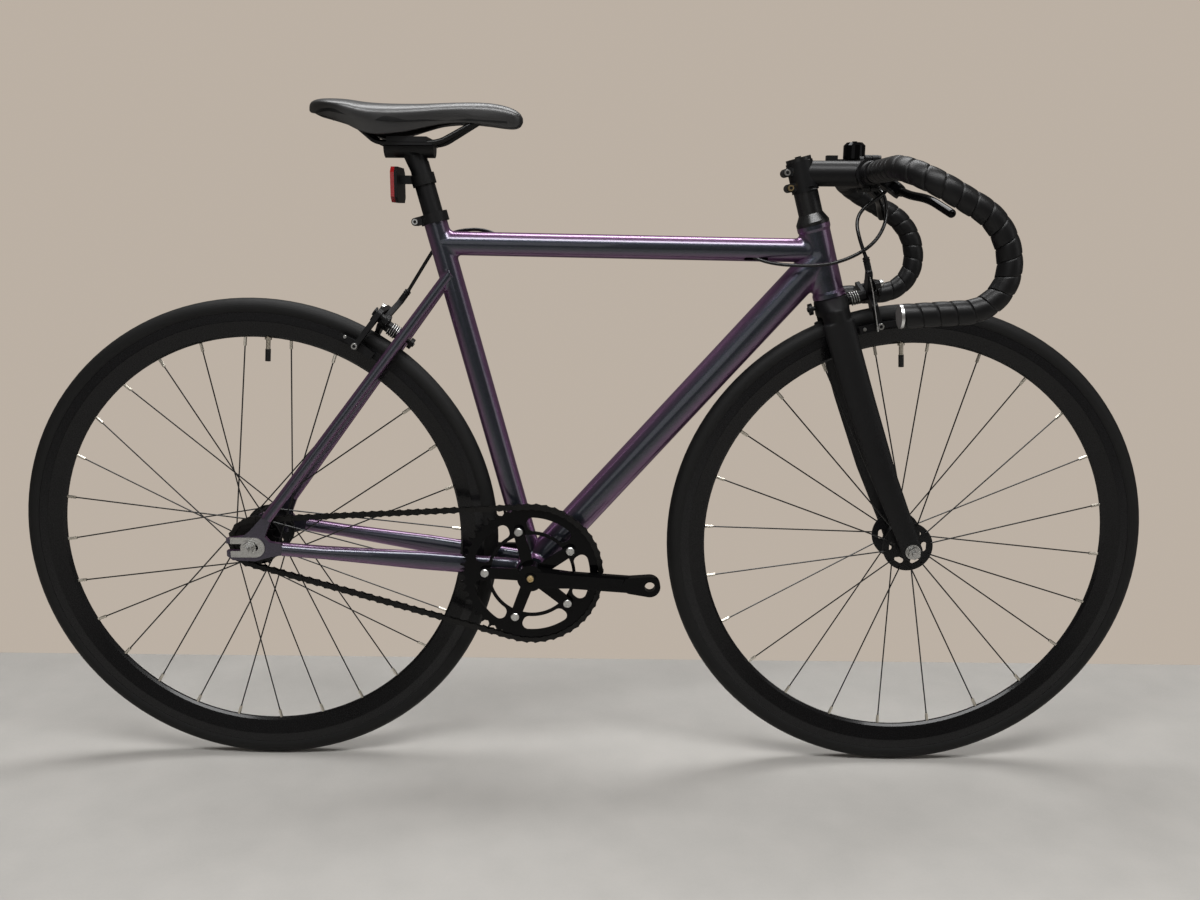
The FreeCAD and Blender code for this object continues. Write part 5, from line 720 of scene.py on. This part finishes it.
def weldRing(joint, look):
    hostName, near, far, halfWide, halfTall, size = joint
    hostFoot, hostEnd, hostRadius = look["hosts"][hostName]
    hostWay = (hostEnd - hostFoot).normalized()
    way = (far - near).normalized()
    wide = (leftward - way * way.dot(leftward)).normalized()
    tall = way.cross(wide)
    slant = way - hostWay * way.dot(hostWay)
    places = []
    for corner in range(look["sides"]):
        angle = 2 * math.pi * corner / look["sides"]
        across, up = math.cos(angle), math.sin(angle)
        start = near + wide * (across * halfWide) + tall * (up * halfTall)
        outward = (wide * (across / halfWide) + tall * (up / halfTall)).normalized()
        # along the branch to where it enters the host
        gap = start - hostFoot
        gap = gap - hostWay * gap.dot(hostWay)
        square, cross = slant.dot(slant), slant.dot(gap)
        under = cross * cross - square * (gap.dot(gap) - hostRadius ** 2)
        meet = start + way * ((math.sqrt(max(under, 0.0)) - cross) / square)
        lift = meet - hostFoot
        hostOut = (lift - hostWay * lift.dot(hostWay)).normalized()
        run = outward - hostOut * outward.dot(hostOut)
        reach = size * min(1.0, run.length / look["flare"])
        onBranch = meet + way * reach
        lift = meet + run.normalized() * reach - hostFoot
        level = hostWay * lift.dot(hostWay)
        onHost = hostFoot + level + (lift - level).normalized() * hostRadius
        for step in range(look["steps"] + 1):
            share = step / look["steps"]
            places.append(onBranch * (1 - share) ** 2 + meet * (2 * share * (1 - share))
                          + onHost * share ** 2)
        places.append(meet - (outward + hostOut) * (look["sink"] * size))
    return places


def addWelds(look):
    places, faces = [], []
    sides, row = look["sides"], look["steps"] + 2
    for joint in look["joints"]:
        first = len(places)
        places.extend(weldRing(joint, look))
        for corner in range(sides):
            here, there = first + corner * row, first + (corner + 1) % sides * row
            for step in range(row):
                following = (step + 1) % row
                faces.append((here + step, there + step, there + following, here + following))
    piece = drawPiece("weldFillets", places, faces, look["smooth"])
    settle(piece, "framePaint", "frame")


addWelds(weldLook)
print("welds done")


# bright fasteners: a round or six-sided head with a socket, several of one body joined
boltLook = {  # shares of the head's height and radius
    "collar": 0.7,
    "crown": 0.86,
    "socketFloor": 0.3,
}


def boltHead(foot, way, size, finish, sides=24, socket=0.5):
    radius, height = size
    inner = radius * socket
    profile = [(radius, 0.0), (radius, height * boltLook["collar"]), (radius * boltLook["crown"], height),
               (inner, height), (inner, height * boltLook["socketFloor"])]
    return turnedPiece("bolt", profile, foot, way, finish, sides)


def joinPieces(name, pieces, body):
    makeActive(pieces[0])
    for piece in pieces:
        piece.select_set(True)
    if len(pieces) > 1:
        bpy.ops.object.join()
    whole = bpy.context.active_object
    whole.name = name
    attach(whole, body)


crankBolts = {
    "circle": 0.065,
    "count": 5,
    "firstAngle": 33.4,
    "ringFace": 0.0504,
    "ringHead": (0.0058, 0.0024),
    # a thin dark six-sided disc at each socket floor: painted shade in the bolt recess
    "shadeShare": 0.48,
    "shadeHeight": 0.0002,
    "shadeSides": 6,
    "capFace": 0.0640,
    "capRadius": 0.0082,
    "capProfile": [(1, -0.0004), (1, 0.0008), (0.88, 0.0014), (0.66, 0.0012), (0.66, 0.0)],
    "capSides": 36,
    "boltHead": (0.0050, 0.0030),
    "boltSocket": 0.55,
}


def boltWay(look, number):
    angle = math.radians(look["firstAngle"] + 360 * number / look["count"])
    return Vector((math.cos(angle), 0, math.sin(angle)))


def addCrankBolts(look):
    ringHeads, socketShades, caps, bolts = [], [], [], []
    radius, height = look["ringHead"]
    shadeRadius = radius * look["shadeShare"]
    socketShade = [(shadeRadius, 0.0), (shadeRadius, look["shadeHeight"])]
    for number in range(look["count"]):
        foot = bb + boltWay(look, number) * look["circle"] - leftward * look["ringFace"]
        ringHeads.append(boltHead(foot, -leftward, look["ringHead"], "steel"))
        # painted shade: a dark disc laid on the socket floor of every chainring bolt
        socketFloor = foot - leftward * (height * boltLook["socketFloor"])
        socketShades.append(turnedPiece("socketShade", socketShade, socketFloor, -leftward, "moulded", look["shadeSides"]))
    cap = [(look["capRadius"] * share, level) for share, level in look["capProfile"]]
    for side in (-1, 1):
        way = leftward * side
        foot = bb + way * look["capFace"]
        caps.append(turnedPiece("cap", cap, foot, way, "glossBlack", look["capSides"]))
        bolts.append(boltHead(foot, way, look["boltHead"], "goldBolt", socket=look["boltSocket"]))
    joinPieces("chainringHeads", ringHeads, "crankset")
    joinPieces("chainringSocketShade", socketShades, "crankset")
    joinPieces("crankCaps", caps, "crankset")
    joinPieces("crankBoltHeads", bolts, "crankset")


addCrankBolts(crankBolts)


# chainring windows have round ends: every sharp corner is filled up to a round
windowLook = {
    "rim": 0.0820,
    "innerRim": 0.0620,
    "webHalf": 0.0130,
    "round": 0.0086,
    "sink": 0.0004,
    "rightFace": 0.0443,
    "leftFace": 0.0417,
    "steps": 10,
    "smooth": 40,
}


def windowCorner(reach, inward, look):
    steps, sink = look["steps"], look["sink"]
    middleAcross = look["webHalf"] + look["round"]
    middleReach = reach + inward * look["round"]
    middleOut = math.sqrt(middleReach ** 2 - middleAcross ** 2)
    first, last = math.asin(look["webHalf"] / reach), math.asin(middleAcross / middleReach)
    edge = reach - inward * sink
    outline = [(edge * math.sin(first) - sink, edge * math.cos(first))]
    for step in range(steps + 1):
        swing = first + (last - first) * step / steps
        outline.append((edge * math.sin(swing), edge * math.cos(swing)))
    turn = math.atan2(-inward * math.cos(last), -inward * math.sin(last)) % (2 * math.pi)
    for step in range(steps + 1):
        swing = turn + (math.pi - turn) * step / steps
        outline.append((middleAcross + look["round"] * math.cos(swing),
                        middleOut + look["round"] * math.sin(swing)))
    outline.append((look["webHalf"] - sink, middleOut))
    return outline


def roundWindows(look, bolts):
    places, faces = [], []
    for number in range(bolts["count"]):
        out = boltWay(bolts, number)
        across = out.cross(leftward)
        for side in (-1, 1):
            for reach, inward in ((look["rim"], -1), (look["innerRim"], 1)):
                outline = windowCorner(reach, inward, look)
                first, count = len(places), len(outline)
                for face in (look["rightFace"], look["leftFace"]):
                    middle = bb - leftward * face
                    places.extend(middle + across * (side * a) + out * b for a, b in outline)
                faces.append(tuple(range(first, first + count)))
                faces.append(tuple(range(first + count, first + 2 * count)))
                for here in range(count):
                    following = (here + 1) % count
                    faces.append((first + here, first + following, first + count + following,
                                  first + count + here))
    piece = drawPiece("windowRounds", places, faces, look["smooth"])
    settle(piece, "glossBlack", "crankset")


roundWindows(windowLook, crankBolts)


# stem and seat clamp bolts, the lower stem bolt is brass
smallBolts = {
    "stemDrop": 0.020,
    "stemBack": 0.0205,
    "stemSide": 0.0125,
    "stemApart": 0.01025,
    "stemHead": (0.0044, 0.0046),
    "clampDrop": 0.0044,
    "clampBack": 0.0247,
    "clampSide": 0.0110,
    "clampHead": (0.0043, 0.0040),
}


def addSmallBolts(look):
    ear = (stemTop - steerUp * look["stemDrop"] - steerAhead * look["stemBack"]
           - leftward * look["stemSide"])
    apart = steerUp * look["stemApart"]
    upper = boltHead(ear + apart, -leftward, look["stemHead"], "steel")
    lower = boltHead(ear - apart, -leftward, look["stemHead"], "goldBolt")
    back = Vector((-seatUp.z, 0, seatUp.x))
    ear = seatTop - seatUp * look["clampDrop"] + back * look["clampBack"] - leftward * look["clampSide"]
    clamp = boltHead(ear, -leftward, look["clampHead"], "steel")
    joinPieces("stemUpperBolt", [upper], "steering")
    joinPieces("stemLowerBolt", [lower], "steering")
    joinPieces("clampBolt", [clamp], "frame")


addSmallBolts(smallBolts)


# brakes, each in its own axes: ahead of its bolt, to its left, up
brakes = {
    "front": {"origin": Vector((0.379314, 0.0, 0.681988)), "ahead": steerAhead, "up": steerUp,
              "base": "steering", "screw": -0.019},
    "rear": {"origin": Vector((-0.270156, 0.0, 0.634735)), "ahead": stayBack, "up": stayUp,
             "base": "frame", "screw": 0.019},
}
brakeLook = {
    "arms": {"a": (-1, 0.0089), "b": (1, 0.0163)},
    "drop": 0.043,
    "boltOut": 0.0322,
    "boltHead": (0.0046, 0.0042),
    "shoeOut": 0.0212,
    "screwHead": (0.0024, 0.0018),
    "anchor": (0.0198, -0.0274, 0.0130),
    "anchorHead": (0.0047, 0.0058),
    "coil": {"start": -0.0170, "end": -0.0045, "radius": 0.0094, "wire": 0.0008, "rounding": 2,
             "turns": 4, "steps": 20},
    "tail": [(0.0089, -0.0330, 0.0100), (0.0030, -0.0376, -0.0480)],
    "tailWire": 0.0007,
    "tailTip": 0.0012,
    "tipLength": 0.006,
    "wireSides": 12,
}


def brakePlace(brake, spot):
    side = brake["up"].cross(brake["ahead"])
    return brake["origin"] + brake["ahead"] * spot[0] + side * spot[1] + brake["up"] * spot[2]


def addSpring(name, brake, look):
    count = look["turns"] * look["steps"]
    route = []
    for number in range(count + 1):
        share = number / count
        angle = 2 * math.pi * look["turns"] * share
        along = look["start"] + (look["end"] - look["start"]) * share
        spot = (along, look["radius"] * math.cos(angle), look["radius"] * math.sin(angle))
        route.append(brakePlace(brake, spot))
    return thickLine(curveLine(name, "POLY", route), look["wire"], look["rounding"], "steel")


def addBrakeFittings(name, brake, look):
    side = brake["up"].cross(brake["ahead"])
    for letter, (sign, along) in look["arms"].items():
        way = side * sign
        bolt = brakePlace(brake, (along, sign * look["boltOut"], -look["drop"]))
        screw = brakePlace(brake, (along + brake["screw"], sign * look["shoeOut"], -look["drop"]))
        pieces = [boltHead(bolt, way, look["boltHead"], "steel"),
                  boltHead(screw, way, look["screwHead"], "steel")]
        if letter == "b":
            anchor = brakePlace(brake, look["anchor"])
            pieces.append(boltHead(anchor, brake["ahead"], look["anchorHead"], "steel"))
        joinPieces(name + "ArmBolts" + letter.upper(), pieces, name + "_arm_" + letter)
    spring = addSpring(name + "Spring", brake, look["coil"])
    high, low = (brakePlace(brake, spot) for spot in look["tail"])
    wire, tip, long = look["tailWire"], look["tailTip"], (low - high).length
    neck = long - look["tipLength"]
    profile = [(wire, 0.0), (wire, neck), (tip, neck), (tip, long)]
    tail = turnedPiece("tail", profile, high, low - high, "steel", look["wireSides"])
    joinPieces(name + "SpringAndTail", [spring, tail], brake["base"])


for name, brake in brakes.items():
    addBrakeFittings(name, brake, brakeLook)
print("fasteners done")


# bar tape: one strip wound up each side of the bar from its end, every turn lies over the one below
tapeLook = {
    "centre": (0.37778, 0.0, 0.84315),
    "start": 0.055,
    "barRadius": 0.0119,
    "under": 0.0015,
    "over": 0.0030,
    "rise": 1.35,
    "riseBend": 0.35,
    "dip": 0.3,
    "dipBend": 6,
    "pitch": 0.0204,
    "rowsPerTurn": 16,
    "sides": 36,
    "slope": 29.0,
    "runs": [("run", 0.085), ("bend", 0.060, 90.0), ("run", 0.036), ("hook", 0.080, 61.0),
             ("hook", 0.052, 86.0), ("run", 0.074)],
    "stepsPerRun": 60,
    "merge": 0.00002,
    "smooth": 38,
}


def barLine(look):
    slope = math.radians(look["slope"])
    side = Vector((0, -1, 0))
    bendAxis = side.cross(Vector((math.cos(slope), 0, -math.sin(slope))))
    place = Vector(look["centre"]) + side * look["start"]
    heading = side.copy()
    out = Vector((0, 0, 1))
    line = []
    travelled = 0.0
    for item in look["runs"]:
        steps, straight = look["stepsPerRun"], item[0] == "run"
        length = item[1] if straight else item[1] * math.radians(item[2])
        axis = bendAxis if item[0] == "bend" else Vector((0, 1, 0))
        turn = Matrix.Identity(3) if straight else Matrix.Rotation(math.radians(item[2]) / steps, 3, axis)
        for step in range(steps):
            line.append((travelled, place.copy(), heading.copy(), out.copy()))
            half = (heading + turn @ heading).normalized()
            chord = length / steps
            place = place + half * chord
            heading = (turn @ heading).normalized()
            out = turn @ out
            travelled += chord
    line.append((travelled, place.copy(), heading.copy(), out.copy()))
    return line


def onLine(line, travelled):
    travelled = min(max(travelled, 0.0), line[-1][0])
    after = min(bisect_right(line, travelled, key=lambda row: row[0]), len(line) - 1)
    low, high = line[after - 1], line[after]
    share = (travelled - low[0]) / max(high[0] - low[0], 1e-9)
    return [low[k].lerp(high[k], share) for k in (1, 2, 3)]


def windTape(name, look, mirror):
    line = barLine(look)
    rows, sides = look["rowsPerTurn"], look["sides"]
    step = look["pitch"] / rows
    total = int((line[-1][0] + look["pitch"]) / step) + 1
    places, faces = [], []
    for row in range(-rows, total):
        part = (row % rows) / rows
        fullness = min(1.0, look["rise"] * part ** look["riseBend"])
        fullness *= 1 - look["dip"] * part ** look["dipBend"]
        lift = look["under"] + (look["over"] - look["under"]) * fullness
        for corner in range(sides):
            travelled = row * step + look["pitch"] * corner / sides
            place, heading, out = onLine(line, travelled)
            across = heading.cross(out).normalized()
            angle = 2 * math.pi * corner / sides
            spot = place + (out * math.cos(angle) + across * math.sin(angle)) * (look["barRadius"] + lift)
            places.append((spot.x, -spot.y if mirror else spot.y, spot.z))
    count = total + rows
    for row in range(count - 1):
        for corner in range(sides):
            if corner < sides - 1:
                ring = [(row, corner), (row, corner + 1), (row + 1, corner + 1), (row + 1, corner)]
            else:
                ring = [(row, corner), (row + rows, 0), (row + rows + 1, 0), (row + 1, corner)]
            if max(item[0] for item in ring) < count:
                faces.append([item[0] * sides + item[1] for item in ring])
    piece = drawPiece(name, places, faces, look["smooth"], look["merge"])
    settle(piece, "tapeSkin", "steering")
    return piece


tapeRight = windTape("tapeRight", tapeLook, False)
tapeLeft = windTape("tapeLeft", tapeLook, True)
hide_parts("bar_tape")
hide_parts("bar_tape")
print("tape wound")


# saddle: one smooth cover drawn from tail to nose, then swollen a little as cloth under pressure
saddleLook = {
    "start": -0.3615,
    "length": 0.280,
    "top": 0.9292,
    "stations": [  # share of the length, half width, crown and lower edge against the top
        (0.000, 0.0150, -0.0085, -0.0135), (0.018, 0.0310, -0.0022, -0.0164),
        (0.060, 0.0480, 0.0010, -0.0192), (0.120, 0.0625, 0.0016, -0.0238),
        (0.200, 0.0706, 0.0006, -0.0322), (0.270, 0.0670, -0.0018, -0.0412),
        (0.330, 0.0605, -0.0028, -0.0444), (0.390, 0.0505, -0.0030, -0.0428),
        (0.460, 0.0408, -0.0028, -0.0390), (0.540, 0.0314, -0.0022, -0.0336),
        (0.620, 0.0262, -0.0012, -0.0288), (0.740, 0.0216, 0.0000, -0.0268),
        (0.840, 0.0206, -0.0006, -0.0288), (0.910, 0.0198, -0.0034, -0.0312),
        (0.960, 0.0172, -0.0078, -0.0318), (0.988, 0.0124, -0.0130, -0.0290),
        (1.000, 0.0070, -0.0180, -0.0240)],
    "rows": 84,
    "bend": 12,
    "shoulder": 0.40,
    "tuck": 0.86,
    "crownPull": 0.62,
    "shoulderPull": 0.6,
    "sidePull": 0.45,
    "footPull": 0.3,
    "narrow": 0.02,
    "lip": [(0.0020, -0.0006), (0.0050, 0.0002), (0.0070, 0.0020)],
    "thick": 0.0022,
    "pressure": 4.0,
    "frames": 20,
    "cap": 0.0008,
    "soften": 2,
}


def blendStations(stations, share):
    last = len(stations) - 2
    here = max(k for k in range(last + 1) if stations[k][0] <= share or k == 0)
    spots = [stations[min(max(here + k, 0), last + 1)] for k in (-1, 0, 1, 2)]
    part = (share - spots[1][0]) / (spots[2][0] - spots[1][0])
    values = []
    for k in (1, 2, 3):
        before, low, high, after = (spot[k] for spot in spots)
        span = spots[2][0] - spots[1][0]
        lead = (high - before) / max(spots[2][0] - spots[0][0], span) * span
        trail = (after - low) / max(spots[3][0] - spots[1][0], span) * span
        square, cube = part ** 2, part ** 3
        values.append(low * (2 * cube - 3 * square + 1) + lead * (cube - 2 * square + part)
                      + high * (3 * square - 2 * cube) + trail * (cube - square))
    return values


def bendThrough(first, second, third, fourth, share):
    rest = 1 - share
    return (first * rest ** 3 + second * (3 * rest ** 2 * share) + third * (3 * rest * share ** 2)
            + fourth * share ** 3)


# half a section: from the crown over the shoulder to the lower edge, then tucked under
def saddleHalf(wide, crown, low, look):
    side = crown - (crown - low) * look["shoulder"]
    foot = wide * look["tuck"]
    pull = look["footPull"]
    over = [Vector((0, crown)), Vector((wide * look["crownPull"], crown)),
            Vector((wide, side + (crown - side) * look["shoulderPull"])), Vector((wide, side))]
    under = [Vector((wide, side)), Vector((wide, side - (side - low) * look["sidePull"])),
             Vector((foot + (wide - foot) * pull, low + (side - low) * pull)), Vector((foot, low))]
    steps = look["bend"]
    half = [bendThrough(*over, k / steps) for k in range(steps)]
    half += [bendThrough(*under, k / steps) for k in range(steps + 1)]
    small = min(1.0, wide / look["narrow"])
    half += [Vector((foot - inward * small, low + rise * small)) for inward, rise in look["lip"]]
    return half


def saddleSkin(look):
    places, faces = [], []
    for row in range(look["rows"] + 1):
        # rows crowd towards both ends, where the cover rounds off
        share = 0.5 - 0.5 * math.cos(math.pi * row / look["rows"])
        wide, crown, low = blendStations(look["stations"], share)
        half = saddleHalf(wide, crown, low, look)
        x = look["start"] + share * look["length"]
        ring = [(-spot.x, spot.y) for spot in reversed(half[1:])] + [(spot.x, spot.y) for spot in half]
        places.extend((x, y, look["top"] + z) for y, z in ring)
    across = len(places) // (look["rows"] + 1)
    for row in range(look["rows"]):
        for corner in range(across - 1):
            first = row * across + corner
            faces.append((first, first + 1, first + across + 1, first + across))
    faces.append(tuple(range(across)))
    faces.append(tuple(range(len(places) - across, len(places))))
    return drawPiece("saddlePad", places, faces)


def swell(piece, look):
    before = [vertex.co.copy() for vertex in piece.data.vertices]
    cloth = piece.modifiers.new("swell", "CLOTH")
    cloth.settings.use_pressure = True
    cloth.settings.uniform_pressure_force = look["pressure"]
    cloth.settings.effector_weights.gravity = 0
    cloth.collision_settings.use_collision = False
    for number in range(1, look["frames"] + 1):
        bpy.context.scene.frame_set(number)
    bpy.ops.object.modifier_apply(modifier="swell")
    bpy.context.scene.frame_set(1)
    for vertex, start in zip(piece.data.vertices, before):
        move = vertex.co - start
        if move.length > look["cap"]:
            vertex.co = start + move.normalized() * look["cap"]


def padSaddle(look):
    piece = saddleSkin(look)
    wall = piece.modifiers.new("wall", "SOLIDIFY")
    wall.thickness = look["thick"]
    wall.offset = -1.0
    bpy.ops.object.modifier_apply(modifier="wall")
    swell(piece, look)
    soften(piece, look["soften"])
    finer = piece.modifiers.new("finer", "SUBSURF")
    finer.levels = 1
    finer.render_levels = 1
    bpy.ops.object.modifier_apply(modifier="finer")
    bpy.ops.object.shade_smooth()
    settle(piece, "saddleSkin", "saddle_post")
    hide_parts("saddle_cover")


padSaddle(saddleLook)
print("saddle padded")


# fork: crown and blades look like one moulding, so their edges and the joints between them are rounded
forkLook = {
    "nodes": ("fork_crown", "fork_blades"),
    "merge": 0.00001,
    "voxel": 0.0012,
    "rounds": 16,
}


def mouldFork(look):
    copies = []
    for node in look["nodes"]:
        copies.append(bpy.data.objects.new("forkSkin", cad[node].data.copy()))
        bpy.context.scene.collection.objects.link(copies[-1])
    makeActive(copies[0])
    copies[1].select_set(True)
    bpy.ops.object.join()
    piece = bpy.context.active_object
    bpy.ops.object.mode_set(mode="EDIT")
    bpy.ops.mesh.select_all(action="SELECT")
    bpy.ops.mesh.remove_doubles(threshold=look["merge"])
    bpy.ops.object.mode_set(mode="OBJECT")
    whole = piece.modifiers.new("whole", "REMESH")
    whole.mode = "VOXEL"
    whole.voxel_size = look["voxel"]
    bpy.ops.object.modifier_apply(modifier="whole")
    soften(piece, look["rounds"])
    bpy.ops.object.shade_smooth()
    piece.data.materials.clear()
    settle(piece, "forkBlack", "steering")
    for node in look["nodes"]:
        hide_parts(node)


mouldFork(forkLook)
print("fork rounded")
